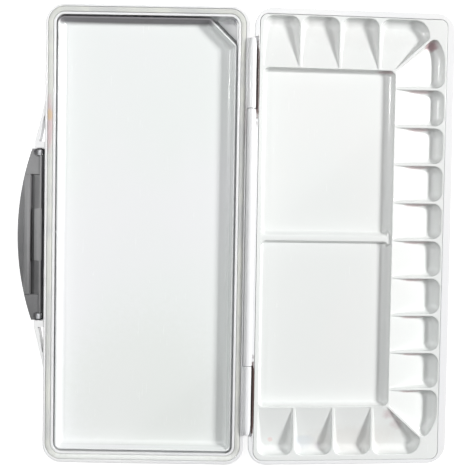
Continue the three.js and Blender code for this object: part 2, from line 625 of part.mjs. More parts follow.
// Each well's corners, with the radius of every corner and the width of every edge's wall
function wells() {
  const list = [];
  const half = WELL_PARTITION / 2;
  const outer = WELL_CORNER_RADIUS;
  const lip = WELL_LIP_RADIUS;
  const side = WELL_SIDE_WIDTH;
  const deep = WELL_END_WIDTH;
  const wellNear = MIX_FAR + half;
  const pitch = (2 * SIDE_HALF_SPAN) / SIDE_WELLS;
  for (let i = 0; i < SIDE_WELLS; i += 1) {
    const low = -SIDE_HALF_SPAN + i * pitch + half;
    const high = -SIDE_HALF_SPAN + (i + 1) * pitch - half;
    list.push({
      corners: rectangle(wellNear, WELL_FAR, low, high), radii: [lip, outer, outer, lip],
      widths: [side, deep, side, 0], from: wellNear, to: WELL_FAR, direction: [1, 0],
    });
  }
  const lastPartition = MIX_FAR - CORNER_WELL_BACK;
  const firstPartition = MIX_NEAR + WELL_FIRST_WIDTH + half;
  const endPitch = (lastPartition - firstPartition) / (END_WELLS - 1);
  for (const sign of [1, -1]) {
    const place = (points) => {
      const placed = points.map(([x, y]) => [x, sign * y]);
      return sign > 0 ? placed : placed.reverse();
    };
    // Reversed corners keep the same edges, so their radii and widths turn round as well
    const turnRadii = (values) => (sign > 0 ? values : [...values].reverse());
    const turnWidths = (values) => (sign > 0 ? values : [...values.slice(0, -1).reverse(), values[values.length - 1]]);
    const wellStart = MIX_HALF_LENGTH + half;
    const wellEnd = WELL_END - (sign > 0 ? WELL_RIM_UPPER : WELL_RIM_LOWER);
    const end = { from: wellStart, to: wellEnd, direction: [0, sign] };
    for (let i = 0; i < END_WELLS; i += 1) {
      const low = i === 0 ? MIX_NEAR : firstPartition + (i - 1) * endPitch + half;
      const high = firstPartition + i * endPitch - half;
      list.push({
        corners: place(rectangle(low, high, wellStart, wellEnd)), radii: turnRadii([lip, lip, outer, outer]),
        widths: turnWidths([0, side, deep, side]), ...end,
      });
    }
    const angle = Math.atan2(WELL_END - MIX_HALF_LENGTH - DIAGONAL_DROP, WELL_LENGTH_FAR);
    const diagonal = (offset) => {
      const start = [MIX_FAR - offset * Math.sin(angle), MIX_HALF_LENGTH + offset * Math.cos(angle)];
      return {
        atX: (x) => [x, start[1] + (x - start[0]) * Math.tan(angle)],
        atY: (y) => [start[0] + (y - start[1]) / Math.tan(angle), y],
      };
    };
    const inner = diagonal(half);
    const low = lastPartition + half;
    list.push({
      corners: place([
        [low, wellStart], inner.atY(wellStart), inner.atX(CORNER_WELL_FAR),
        [CORNER_WELL_FAR - CORNER_WELL_SLANT, wellEnd], [low, wellEnd],
      ]),
      radii: turnRadii([lip, lip, CORNER_WELL_TIP_RADIUS, CORNER_WELL_RADIUS, outer]),
      widths: turnWidths([0, side, side, deep, side]), ...end,
    });
    const outerSide = diagonal(-half);
    const tip = wellEnd - SIDE_CORNER_REACH;
    list.push({
      corners: place([
        [wellNear, SIDE_HALF_SPAN + half], [WELL_FAR, SIDE_HALF_SPAN + half], [WELL_FAR, tip - SIDE_CORNER_SLANT],
        outerSide.atY(tip), outerSide.atX(wellNear),
      ]),
      radii: turnRadii([lip, outer, SIDE_CORNER_RADIUS, SIDE_CORNER_TIP_RADIUS, lip]),
      widths: turnWidths([side, deep, side, side, 0]), from: wellNear, to: WELL_FAR, direction: [1, 0],
    });
  }
  return list;
}

// A mixing dish between two lengths along the hinge, with a gentle slope on its far side. All
// dishes lie in the same slopes, so a shallower one is a slice of a deeper one.
function dish(y0, y1, depth) {
  const corners = rectangle(MIX_NEAR, MIX_FAR, y0, y1);
  const slopes = MIX_SLOPES.map((slope) => (slope * depth) / MIX_DEPTH);
  return stack([
    { points: outline(corners, MIX_CORNER_RADIUS, slopes), height: -depth },
    { points: outline(corners, MIX_CORNER_RADIUS), height: 0 },
    { points: outline(corners, MIX_CORNER_RADIUS), height: THROUGH },
  ]);
}

// The skin under both dishes
function dishUnderside() {
  const corners = rectangle(MIX_NEAR, MIX_FAR, -MIX_HALF_LENGTH, MIX_HALF_LENGTH);
  return stack([
    { points: outline(corners, MIX_CORNER_RADIUS, shift(MIX_SLOPES, -WELL_SKIN)), height: -MIX_DEPTH - WELL_SKIN },
    { points: outline(corners, MIX_CORNER_RADIUS, -WELL_SKIN), height: -WELL_PLATE / 2 },
  ]);
}

function wellTray() {
  const list = wells();
  const undersides = join([...list.map((well) => rampWell(well, WELL_SKIN)), dishUnderside()]);
  const room = pocketShape(RUNNING_GAP, POCKET_FLOOR + SEAT_GAP, 0);
  const body = pocketShape(RUNNING_GAP, -WELL_PLATE, 0).add(undersides.intersect(room));
  const dishes = [
    dish(-MIX_HALF_LENGTH, MIX_HALF_LENGTH, MIX_RIB_DROP),
    dish(-MIX_HALF_LENGTH, MIX_RIB_OFFSET - MIX_RIB / 2, MIX_DEPTH),
    dish(MIX_RIB_OFFSET + MIX_RIB / 2, MIX_HALF_LENGTH, MIX_DEPTH),
  ];
  return cut(body, [...dishes, ...list.map((well) => rampWell(well, 0))]);
}

// Latch, drawn about its pivot: X towards the case, so it reaches out along -X

// The latch's outer edge is one arc from end to end
function latchPlan() {
  const rise = LATCH_REACH - LATCH_END_REACH;
  const radius = (LATCH_HALF_LENGTH ** 2 + rise ** 2) / (2 * rise);
  const sweep = Math.asin(LATCH_HALF_LENGTH / radius);
  const points = [[LATCH_HEEL, LATCH_HALF_LENGTH]];
  for (let i = 0; i <= ARC_POINTS; i += 1) {
    const angle = sweep * (1 - (2 * i) / ARC_POINTS);
    points.push([-LATCH_REACH + radius * (1 - Math.cos(angle)), radius * Math.sin(angle)]);
  }
  points.push([LATCH_HEEL, -LATCH_HALF_LENGTH]);
  return points.map(([x, y]) => new THREE.Vector2(x, y));
}

// The recess's floor swells from the foot of the ridge up to the ledge
function recessRound() {
  const width = RIDGE_START - LEDGE_END;
  const rise = RECESS_FACE_LEDGE - RECESS_FACE;
  const points = [];
  for (let i = 1; i <= RECESS_STEPS; i += 1) {
    const turn = (i * Math.PI) / (2 * RECESS_STEPS);
    points.push([-RIDGE_START + (width * i) / RECESS_STEPS, RECESS_FACE + rise * Math.sin(turn)]);
  }
  return points;
}

function latch() {
  const plate = prism(latchPlan(), -LATCH_BACK, LATCH_FACE);
  const ridgeEnd = RIDGE_START + RIDGE_WIDTH;
  const over = LATCH_FACE + THROUGH;
  const whole = LATCH_HALF_LENGTH + THROUGH;
  const heel = along([
    [HEEL_START, LATCH_FACE], [LATCH_HEEL, HEEL_FACE], [LATCH_HEEL + THROUGH, HEEL_FACE],
    [LATCH_HEEL + THROUGH, over], [HEEL_START, over],
  ], -whole, whole);
  const field = along([
    [-LATCH_REACH - THROUGH, over], [-LATCH_REACH - THROUGH, FIELD_FACE_END], [-LATCH_REACH, FIELD_FACE_END],
    [-ridgeEnd, FIELD_FACE_START], [-ridgeEnd, over],
  ], -whole, whole);
  const edge = along([
    [-LATCH_REACH - THROUGH, -LATCH_BACK - THROUGH], [-LATCH_END_REACH, -LATCH_BACK - THROUGH],
    [-LATCH_END_REACH, -LATCH_BACK], [-LATCH_REACH, -LATCH_BACK + LATCH_EDGE_ROUND],
    [-LATCH_REACH - THROUGH, -LATCH_BACK + LATCH_EDGE_ROUND],
  ], -whole, whole);
  const recess = along([
    [-RIDGE_START, RECESS_FACE], ...recessRound(), [-LEDGE_END, over],
    [-RIDGE_START, over],
  ], -CATCH_HALF_LENGTH, CATCH_HALF_LENGTH);
  const shoulders = mirrored((side) => block(
    -ridgeEnd - THROUGH, -LEDGE_END, ...span(side, CATCH_HALF_LENGTH, whole), FIELD_FACE_START, over));
  const slot = block(
    -RIDGE_START, -RIDGE_START + TONGUE_SLOT_WIDTH, -TONGUE_HALF_LENGTH, TONGUE_HALF_LENGTH, TONGUE_SLOT_FACE, over);
  const notchNear = LATCH_HALF_LENGTH - LATCH_NOTCH_LENGTH;
  const notches = mirrored((side) => block(
    -LATCH_NOTCH_REACH, LATCH_NOTCH_HEEL, ...span(side, notchNear, LATCH_HALF_LENGTH - LATCH_NOTCH_END),
    -LATCH_BACK - THROUGH, over));
  const bores = mirrored((side) => bar(
    LATCH_PIN_RADIUS + RUNNING_GAP, ...span(side, notchNear - LATCH_PIN_BEARING - RUNNING_GAP, whole)));
  const ridge = along([
    [-ridgeEnd - RIDGE_SLOPE, RECESS_FACE], [-RIDGE_START, RECESS_FACE], [-RIDGE_START, RIDGE_FACE],
    [-ridgeEnd, RIDGE_FACE], [-ridgeEnd - RIDGE_SLOPE, FIELD_FACE_END],
  ], -CATCH_HALF_LENGTH, CATCH_HALF_LENGTH);
  const tongue = block(
    -TONGUE_START, TONGUE_END, -TONGUE_HALF_LENGTH, TONGUE_HALF_LENGTH, RECESS_FACE, TONGUE_FACE);
  return cut(join([cut(plate, [heel, field, edge, recess, slot, ...shoulders]), ridge, tongue]), [...notches, ...bores]);
}

// The assembly

const WHITE = { color: 0xf4f5f4, roughness: 0.28, metalness: 0 };
const TRAY_WHITE = { color: 0xeff1ef, roughness: 0.22, metalness: 0 };
const GASKET_GREY = { color: 0xd9dcd2, roughness: 0.75, metalness: 0 };
const LATCH_GREY = { color: 0x77777a, roughness: 0.5, metalness: 0 };
const STEEL = { color: 0xb9bcc0, roughness: 0.3, metalness: 1 };

const palette = new THREE.Group();

function place(parent, name, body, finish, position = [0, 0, 0]) {
  const mesh = new THREE.Mesh(surface(body), new THREE.MeshStandardMaterial(finish));
  mesh.name = name;
  mesh.position.set(...position);
  parent.add(mesh);
}

const lidGroup = new THREE.Group();
lidGroup.position.set(AXIS_X, 0, AXIS_Z);
lidGroup.rotation.y = REST_TILT;
palette.add(lidGroup);

const latchGroup = new THREE.Group();
latchGroup.position.set(PIVOT_X, 0, PIVOT_Z);
palette.add(latchGroup);

place(palette, 'base_case', baseCase(), WHITE);
place(palette, 'rim_gasket', rimGasket(), GASKET_GREY);
place(palette, 'mixing_tray', mixingTray(), TRAY_WHITE);
place(lidGroup, 'lid_shell', lidShell(), WHITE, [0, 0, -AXIS_RISE]);
place(lidGroup, 'well_tray', wellTray(), TRAY_WHITE, [0, 0, -AXIS_RISE]);
place(latchGroup, 'latch_handle', latch(), LATCH_GREY);

for (const [side, name] of [[1, 'upper'], [-1, 'lower']]) {
  const hingeFar = LID_KNUCKLE_HALF + KNUCKLE_END_GAP + CASE_KNUCKLE_LENGTH - HINGE_PIN_INSET;
  const hingePin = bar(HINGE_PIN_RADIUS, ...span(side, LID_KNUCKLE_HALF - HINGE_PIN_REACH, hingeFar));
  place(palette, `hinge_pin_${name}`, hingePin, STEEL, [AXIS_X, 0, AXIS_Z]);
  const latchNear = LATCH_HALF_LENGTH - LATCH_NOTCH_LENGTH - LATCH_PIN_BEARING;
  const latchPin = bar(LATCH_PIN_RADIUS, ...span(side, latchNear, EAR_NEAR + EAR_WALL));
  place(palette, `latch_pin_${name}`, latchPin, WHITE, [PIVOT_X, 0, PIVOT_Z]);
}

export default palette;
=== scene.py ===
"""Folding watercolour mixing palette, lying open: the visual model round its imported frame.

Sizes in the classes are millimetres. A finished piece is scaled to metres in the frame's axes.
"""

import json
import logging
import math
from dataclasses import dataclass, replace
from enum import Enum
from typing import Callable, Iterable, Optional, Sequence, Union

import bmesh
import bpy
from mathutils import Matrix, Vector


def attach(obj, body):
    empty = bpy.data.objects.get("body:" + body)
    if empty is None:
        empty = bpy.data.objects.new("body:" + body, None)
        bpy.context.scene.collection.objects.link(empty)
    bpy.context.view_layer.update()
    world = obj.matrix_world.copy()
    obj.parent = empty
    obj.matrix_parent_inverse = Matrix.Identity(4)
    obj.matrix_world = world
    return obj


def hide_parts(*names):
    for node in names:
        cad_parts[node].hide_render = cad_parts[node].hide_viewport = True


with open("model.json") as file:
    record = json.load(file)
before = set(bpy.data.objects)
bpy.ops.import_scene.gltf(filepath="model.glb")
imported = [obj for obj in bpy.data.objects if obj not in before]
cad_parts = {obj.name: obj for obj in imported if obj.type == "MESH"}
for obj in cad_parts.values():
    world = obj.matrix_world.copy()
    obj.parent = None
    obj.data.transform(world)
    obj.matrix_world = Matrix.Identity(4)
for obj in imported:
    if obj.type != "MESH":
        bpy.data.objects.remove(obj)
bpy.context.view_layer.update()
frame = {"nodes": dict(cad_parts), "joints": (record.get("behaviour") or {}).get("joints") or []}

LOG = logging.getLogger("palette")
MILLIMETRE = 0.001
PHOTO_PIXELS = 470
SPREAD = 20.0
THROUGH = 1.0
HAIR = 0.01
LEAST_RADIUS = 0.3
FIT_SHARE = 0.95
CORNER_STEPS = 14
BORE_SIDES = 24
BARREL_SIDES = 40
SIDES = (1, -1)

Point = tuple[float, float]
Triple = tuple[float, float, float]
Colour = tuple[float, float, float, float]
Height = Union[float, Callable[[float, float], float]]
Inset = Union[float, Sequence[float]]
Mesh = bmesh.types.BMesh


class Body(Enum):
    """The bodies of the frame that pieces ride on."""

    CASE = "case"
    TRAY = "tray"
    LID = "lid"
    LATCH = "latch"


class Slot(Enum):
    """The record's material slots."""

    CASE_WHITE = "case_white"
    TRAY_WHITE = "tray_white"
    GASKET_GREY = "gasket_grey"
    LATCH_GREY = "latch_grey"
    PIN_WHITE = "pin_white"


class Joining(Enum):
    """How a tool solid changes a piece."""

    CUT = "DIFFERENCE"
    ADD = "UNION"


# Flat outlines and the lofts between them


@dataclass(frozen=True)
class Ring:
    """A closed loop of vertices in a mesh under work, with the height that each comes to."""

    verts: list
    edges: list
    heights: tuple[float, ...] = ()


@dataclass(frozen=True)
class Outline:
    """A convex outline, anticlockwise. Edge i runs from corner i to the next corner."""

    corners: tuple[Point, ...]
    radii: tuple[float, ...]

    @classmethod
    def rectangle(cls, low: Point, high: Point, radius: float) -> "Outline":
        """An upright rectangle; its edges run lower, right, upper, left."""
        return cls((low, (high[0], low[1]), high, (low[0], high[1])), (radius,) * 4)

    def moved(self, amount: Callable[[int, Point], float]) -> tuple[Point, ...]:
        """Corners after each edge moves inwards.

        Args:
            amount: How far edge i moves at a point of the old outline.

        Returns:
            The new corners, in the old order.
        """
        lines = []
        for i, corner in enumerate(self.corners):
            following = self.corners[(i + 1) % len(self.corners)]
            start, end = Vector(corner), Vector(following)
            along_edge = (end - start).normalized()
            inward = Vector((-along_edge.y, along_edge.x))
            lines.append((start + inward * amount(i, corner), end + inward * amount(i, following)))
        corners = []
        for i, (start, end) in enumerate(lines):
            before_start, before_end = lines[i - 1]
            edge, before = end - start, before_end - before_start
            travel = (start - before_start).cross(edge) / before.cross(edge)
            corners.append(tuple(before_start + before * travel))
        return tuple(corners)

    def inset(self, amounts: Inset) -> "Outline":
        """The outline with its edges moved inwards and its corners' radii shrunk to match.

        Args:
            amounts: One inset for all edges, or one for each.

        Returns:
            The smaller outline.
        """
        single = isinstance(amounts, (int, float))
        each = [float(amounts)] * len(self.corners) if single else list(amounts)
        radii = tuple(
            max(radius - (each[i - 1] + each[i]) / 2, LEAST_RADIUS)
            for i, radius in enumerate(self.radii))
        return Outline(self.moved(lambda i, _: each[i]), radii)

    def reaches(self) -> list[float]:
        """How far each corner's round reaches along its edges, kept short enough to fit them."""
        points = [Vector(corner) for corner in self.corners]
        edges = [after - point for point, after in zip(points, points[1:] + points[:1])]
        turns = [
            radius * math.tan(edges[i - 1].angle(edges[i]) / 2)
            for i, radius in enumerate(self.radii)]
        fits = [
            min(1.0, FIT_SHARE * edge.length / (turn + after))
            for edge, turn, after in zip(edges, turns, turns[1:] + turns[:1])]
        return [turn * min(fits[i], fits[i - 1]) for i, turn in enumerate(turns)]

    def ring(self, mesh: Mesh, height: Height, steps: int) -> Ring:
        """Adds the outline to a mesh that has no faces yet.

        Args:
            mesh: The mesh under work.
            height: A height, or a function of a point that gives one.
            steps: Segments of each corner's round.

        Returns:
            The loop of vertices.
        """
        face = mesh.faces.new([mesh.verts.new((x, y, 0.0)) for x, y in self.corners])
        for vert, reach in zip(list(face.verts), self.reaches()):
            bmesh.ops.bevel(
                mesh, geom=[vert], offset=reach, offset_type="OFFSET", segments=steps,
                profile=0.5, affect="VERTICES", material=-1, clamp_overlap=False)
        face = next(iter(mesh.faces))
        verts = [corner.vert for corner in face.loops]
        heights = tuple(
            height(vert.co.x, vert.co.y) if callable(height) else height for vert in verts)
        loop = Ring(verts, list(face.edges), heights)
        bmesh.ops.delete(mesh, geom=[face], context="FACES_ONLY")
        return loop


def outward(mesh: Mesh) -> Mesh:
    """Turns the normals of a closed mesh outwards."""
    bmesh.ops.recalc_face_normals(mesh, faces=mesh.faces[:])
    return mesh


def bridge(mesh: Mesh, rings: Sequence[Ring], caps: str = "both") -> None:
    """Joins rings one after another with walls. They are spread out while this is done, so that
    two rings at the same height are joined the right way round.

    Args:
        mesh: The mesh that holds the rings.
        rings: The rings, in order.
        caps: "both", "first", "last", or "round" to join the last ring to the first.
    """
    pairs = list(zip(rings, rings[1:]))
    if caps == "round":
        pairs.append((rings[-1], rings[0]))
    for level, ring in enumerate(rings):
        for vert in ring.verts if ring.heights else ():
            vert.co.z = level * SPREAD
    for one, other in pairs:
        bmesh.ops.bridge_loops(mesh, edges=[*one.edges, *other.edges])
    for ring in rings:
        for vert, height in zip(ring.verts, ring.heights):
            vert.co.z = height
    for ring, wanted in ((rings[0], ("both", "first")), (rings[-1], ("both", "last"))):
        if caps in wanted:
            bmesh.ops.edgeloop_fill(mesh, edges=ring.edges)


def stack(levels: Iterable[tuple[Outline, Height]], steps: int, caps: str = "both") -> Mesh:
    """A skin through outlines at their heights.

    Args:
        levels: Outlines and heights, in order.
        steps: Segments of each corner's round.
        caps: As in bridge.

    Returns:
        The mesh under work.
    """
    mesh = bmesh.new()
    bridge(mesh, [outline.ring(mesh, height, steps) for outline, height in levels], caps)
    return outward(mesh) if caps in ("both", "round") else mesh


def loft(sections: Iterable[Sequence[Triple]]) -> Mesh:
    """A closed solid through closed sections that all have the same number of points."""
    mesh, loops = bmesh.new(), []
    for points in sections:
        verts = [mesh.verts.new(point) for point in points]
        edges = [mesh.edges.new((verts[i - 1], verts[i])) for i in range(len(verts))]
        loops.append(Ring(verts, edges))
    bridge(mesh, loops)
    return outward(mesh)


def quarter(steps: int, start: float = 0.0) -> list[Point]:
    """Sine and cosine at even steps over a quarter turn that starts at an angle in degrees."""
    angles = (math.radians(start + (90 - start) * i / steps) for i in range(steps + 1))
    return [(math.sin(angle), math.cos(angle)) for angle in angles]


def rise(steps: int, inset: float, height: float, across: float, up: float) -> list[Point]:
    """Insets and heights of a round that runs from a level face to an upright one.

    Args:
        steps: Number of steps.
        inset: Inset of the upright face.
        height: Height of the level face.
        across: From the upright face to the level face's end.
        up: From the level face to the upright face's end.

    Returns:
        Pairs of inset and height.
    """
    return [
        (inset + across * (1 - sine), height + up * (1 - cosine))
        for sine, cosine in quarter(steps)]


def level_off(steps: int, inset: float, height: float, across: float, up: float) -> list[Point]:
    """The round that rise describes, from its upright face to its level one."""
    return [
        (inset + across * (1 - cosine), height + up * (1 - sine))
        for sine, cosine in quarter(steps)]


def hollow(steps: int, start: float) -> list[Point]:
    """Shares of a hollow's wall width and depth, from its mouth down to its floor.

    Args:
        steps: Number of steps.
        start: How far the wall leans at the mouth, in degrees.

    Returns:
        Pairs of shares.
    """
    turn = quarter(steps, start)
    low, high = turn[0]
    return [((1 - sine) / (1 - low), cosine / high) for sine, cosine in reversed(turn[:-1])]


def absorb(mesh: Mesh, other: Mesh) -> None:
    """Adds another mesh under work to this one and frees it."""
    carrier = bpy.data.meshes.new("carrier")
    other.to_mesh(carrier)
    other.free()
    mesh.from_mesh(carrier)
    bpy.data.meshes.remove(carrier)


def lathe(profile: Sequence[Point], centre: Point, sides: int = BARREL_SIDES) -> Mesh:
    """A round solid about a line along Y.

    Args:
        profile: Points as radius and Y, from axis to axis.
        centre: X and Z of the line.
        sides: Sides of the round.

    Returns:
        A closed mesh.
    """
    mesh = bmesh.new()
    verts = [mesh.verts.new((centre[0] + radius, y, centre[1])) for radius, y in profile]
    edges = [mesh.edges.new(pair) for pair in zip(verts, verts[1:])]
    bmesh.ops.spin(
        mesh, geom=[*verts, *edges], cent=(centre[0], 0, centre[1]), axis=(0, 1, 0),
        angle=math.tau, steps=sides, use_merge=True)
    bmesh.ops.remove_doubles(mesh, verts=mesh.verts[:], dist=1e-4)
    return outward(mesh)


def bar(radius: float, span: Point, centre: Point, sides: int = BORE_SIDES) -> Mesh:
    """A plain round bar along Y, used as a tool."""
    y0, y1 = span
    return lathe([(0, y0), (radius, y0), (radius, y1), (0, y1)], centre, sides)


def along(points: Sequence[Point], span: Point, edge: float = 0.0) -> Mesh:
    """A flat XZ shape carried along Y.

    Args:
        points: Corners as X and Z.
        span: Where it starts and ends.
        edge: Radius of its edges.

    Returns:
        A closed mesh.
    """
    mesh = bmesh.new()
    face = mesh.faces.new([mesh.verts.new((x, span[0], z)) for x, z in points])
    grown = bmesh.ops.extrude_face_region(mesh, geom=[face], use_keep_orig=True)["geom"]
    moved = [item for item in grown if isinstance(item, bmesh.types.BMVert)]
    bmesh.ops.translate(mesh, verts=moved, vec=(0, span[1] - span[0], 0))
    outward(mesh)
    if edge > 0:
        bmesh.ops.bevel(
            mesh, geom=mesh.edges[:], offset=edge, offset_type="OFFSET", segments=2,
            profile=0.5, affect="EDGES", material=-1, clamp_overlap=True)
    return mesh


def upright(outline: Outline, low: float, high: float, edge: float = 0.0) -> Mesh:
    """A block on an outline, with its upper and lower edges rounded.

    Args:
        outline: Its plan.
        low: Height of its underside.
        high: Height of its top.
        edge: Radius of its upper and lower edges.

    Returns:
        A closed mesh.
    """
    levels = [(0.0, low), (0.0, high)]
    if edge > 0:
        levels = rise(3, 0, low, edge, edge) + level_off(3, 0, high, edge, -edge)
    return stack(((outline.inset(inset), height) for inset, height in levels), 4)


def side_span(side: int, near: float, far: float) -> Point:
    """The same length along Y on the upper (1) or the lower (-1) side."""
    return (near, far) if side > 0 else (-far, -near)


def block_object(name: str, mesh: Mesh) -> bpy.types.Object:
    """Turns a mesh under work into an object, still in millimetres."""
    data = bpy.data.meshes.new(name)
    mesh.to_mesh(data)
    mesh.free()
    made = bpy.data.objects.new(name, data)
    bpy.context.scene.collection.objects.link(made)
    return made


def release(piece: bpy.types.Object) -> Mesh:
    """Takes a helper object's mesh back under work and removes the object."""
    mesh, data = bmesh.new(), piece.data
    mesh.from_mesh(data)
    bpy.data.objects.remove(piece)
    bpy.data.meshes.remove(data)
    return mesh


def settle(piece: bpy.types.Object) -> None:
    """Turns the result of a piece's modifiers into its mesh."""
    bpy.context.view_layer.update()
    shaped = piece.evaluated_get(bpy.context.evaluated_depsgraph_get())
    old, data = piece.data, bpy.data.meshes.new_from_object(shaped)
    piece.modifiers.clear()
    piece.data = data
    data.name = piece.name
    bpy.data.meshes.remove(old)


def shape(piece: bpy.types.Object, joining: Joining, tools: Iterable[Mesh]) -> None:
    """Adds solids to a piece or cuts them out of it, one after another."""
    for tool_mesh in tools:
        tool = block_object("tool", tool_mesh)
        step = piece.modifiers.new("step", "BOOLEAN")
        step.object = tool
        step.operation = joining.value
        step.solver = "MANIFOLD"
        settle(piece)
        release(tool).free()


def complete(
        piece: bpy.types.Object, body: Body, material: bpy.types.Material,
        replaced: str, place: Optional[Matrix] = None, sharp: float = 40) -> None:
    """Scales a piece to metres, puts it in place, smooths it and hands it to the frame.

    Args:
        piece: The piece, in millimetres.
        body: The body that it rides on.
        material: Its finish.
        replaced: The CAD node that it stands for.
        place: Where its own axes lie in the frame, in millimetres.
        sharp: Angle in degrees from which an edge stays sharp.
    """
    data = piece.data
    data.transform(Matrix.Scale(MILLIMETRE, 4) @ (place or Matrix.Identity(4)))
    data.materials.clear()
    data.materials.append(material)
    data.shade_smooth()
    data.set_sharp_from_angle(angle=math.radians(sharp))
    weighted = piece.modifiers.new("even_shading", "WEIGHTED_NORMAL")
    weighted.keep_sharp = True
    weighted.weight = 60
    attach(piece, body.value)
    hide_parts(replaced)
    LOG.info("%s: %d faces on %s", piece.name, len(data.polygons), body.value)


# Finishes


class Value:
    """A shader value that takes part in ordinary sums. Each sum adds a Math node."""

    def __init__(self, recipe: "Recipe", socket: bpy.types.NodeSocket) -> None:
        """Wraps a socket of the recipe's node tree."""
        self.recipe = recipe
        self.socket = socket

    def _math(self, operation: str, *values: Union["Value", float]) -> "Value":
        """Adds a Math node and returns its result."""
        return self.recipe.node(
            "ShaderNodeMath", {"operation": operation}, dict(enumerate(values)))

    def __add__(self, other: Union["Value", float]) -> "Value":
        """Sum."""
        return self._math("ADD", self, other)

    def __sub__(self, other: Union["Value", float]) -> "Value":
        """Difference."""
        return self._math("SUBTRACT", self, other)

    def __mul__(self, other: Union["Value", float]) -> "Value":
        """Product."""
        return self._math("MULTIPLY", self, other)

    def __rsub__(self, other: float) -> "Value":
        """Difference from a number."""
        return self._math("SUBTRACT", other, self)

    __radd__ = __add__

    def limited(self) -> "Value":
        """The value kept between 0 and 1."""
        return self._math("MINIMUM", self._math("MAXIMUM", self, 0.0), 1.0)

    def between(self, low: float, high: float) -> "Value":
        """A soft step from 0 at low to 1 at high."""
        return self.recipe.node(
            "ShaderNodeMapRange", {"interpolation_type": "SMOOTHSTEP"},
            {"Value": self, "From Min": low, "From Max": high})


@dataclass(frozen=True)
class StainAndShade:
    """A soft blot about a place, used for stains such as dried paint and for painted shade and painted
    highlights.
    """

    centre: Triple
    size: Triple
    colour: Colour
    strength: float
    uneven: float = 0.5

    def carried(self, place: Matrix) -> "StainAndShade":
        """The same mark, drawn in the axes of a piece that lies elsewhere."""
        return replace(self, centre=tuple(place @ Vector(self.centre)))


class Recipe:
    """The node tree of one material or world."""

    def __init__(self, owner: Union[bpy.types.Material, bpy.types.World]) -> None:
        """Clears the owner's tree and starts it anew."""
        owner.use_nodes = True
        self.tree = owner.node_tree
        self.tree.nodes.clear()

    def node(self, kind: str, settings: Optional[dict] = None,
             inputs: Optional[dict] = None, output: Union[int, str] = 0) -> Value:
        """Adds a node.

        Args:
            kind: The node's type.
            settings: Its settings, which are set first.
            inputs: Values or links of its sockets, by name or number.
            output: The socket that is wanted from it.

        Returns:
            That socket.
        """
        made = self.tree.nodes.new(kind)
        for name, value in (settings or {}).items():
            setattr(made, name, value)
        for key, value in (inputs or {}).items():
            if isinstance(value, Value):
                self.tree.links.new(value.socket, made.inputs[key])
            else:
                made.inputs[key].default_value = value
        return Value(self, made.outputs[output]) if made.outputs else None

    def where(self) -> Value:
        """The place on the piece, in metres."""
        return self.node("ShaderNodeTexCoord", output="Object")

    def coordinate(self, axis: str) -> Value:
        """One coordinate of the place on the piece, in millimetres."""
        place = self.node("ShaderNodeSeparateXYZ", inputs={0: self.where()}, output=axis)
        return place * (1 / MILLIMETRE)

    def vector(self, operation: str, one: Value, other: object = None,
               output: str = "Vector") -> Value:
        """Vector maths on one or two vectors."""
        inputs = {0: one} if other is None else {0: one, 1: other}
        return self.node("ShaderNodeVectorMath", {"operation": operation}, inputs, output)

    def noise(self, grain: float, detail: float = 2.0, stretch: Triple = (1, 1, 1),
              shift: float = 0.0, roughness: float = 0.5) -> Value:
        """Soft noise.

        Args:
            grain: Size of its features in millimetres.
            detail: Number of finer layers.
            stretch: How much longer the features are along each axis.
            shift: Moves the pattern, so that two of them differ.
            roughness: Strength of the finer layers.

        Returns:
            A value from 0 to 1.
        """
        scale = tuple(1.0 / (grain * MILLIMETRE * each) for each in stretch)
        place = self.node("ShaderNodeMapping", inputs={
            "Vector": self.where(), "Scale": scale, "Location": (shift,) * 3})
        return self.node("ShaderNodeTexNoise", inputs={
            "Vector": place, "Scale": 1.0, "Detail": detail, "Roughness": roughness}, output="Fac")

    def mix(self, share: Union[Value, float], one: object, other: object) -> Value:
        """A colour between two colours."""
        return self.node(
            "ShaderNodeMix", {"data_type": "RGBA"}, {0: share, 6: one, 7: other}, output=2)

    def stained_and_shaded(self, colour: Value, stains_and_shade: Iterable[StainAndShade]) -> Value:
        """Lays blots with uneven, soft edges over a colour.

        Args:
            colour: The colour under them.
            stains_and_shade: The blots, stains and painted shade alike, the lowest first. Their measures
                are millimetres in the frame.

        Returns:
            The new colour.
        """
        fade, grain, layers = 0.6, 3.0, 3.0
        for patch in stains_and_shade:
            centre, size = (
                tuple(value * MILLIMETRE for value in triple) for triple in (patch.centre, patch.size))
            offset = self.vector("SUBTRACT", self.where(), centre)
            away = self.vector("LENGTH", self.vector("DIVIDE", offset, size), output="Value")
            ragged = away + (self.noise(grain, layers) - 0.5) * patch.uneven
            share = (1.0 - ragged.between(1.0 - fade, 1.0)) * patch.strength
            colour = self.mix(share, colour, patch.colour)
        return colour

    def finish(self, colour: object, roughness: object, bump: Value, depth: float,
               **plain: object) -> None:
        """Ends a material with its main shader.

        Args:
            colour: Base colour.
            roughness: Roughness.
            bump: Height of the fine relief, from 0 to 1.
            depth: What a height of 1 is, in millimetres.
            plain: Other sockets of the shader, with underscores for spaces.
        """
        normal = self.node("ShaderNodeBump", inputs={
            "Height": bump, "Distance": depth * MILLIMETRE}, output="Normal")
        inputs = {"Base Color": colour, "Roughness": roughness, "Normal": normal}
        inputs.update({name.replace("_", " "): value for name, value in plain.items()})
        shader = self.node("ShaderNodeBsdfPrincipled", inputs=inputs)
        self.node("ShaderNodeOutputMaterial", inputs={"Surface": shader})


@dataclass(frozen=True)
class Finish:
    """A material with its stains, painted shade and painted highlights."""

    name: str
    colour: Colour
    stains_and_shade: tuple[StainAndShade, ...] = ()

    def make(self) -> bpy.types.Material:
        """Builds the material."""
        material = bpy.data.materials.new(self.name)
        self.lay(Recipe(material))
        return material

    def lay(self, recipe: Recipe) -> None:
        """Writes the material's nodes. Every finish has its own."""
        raise NotImplementedError


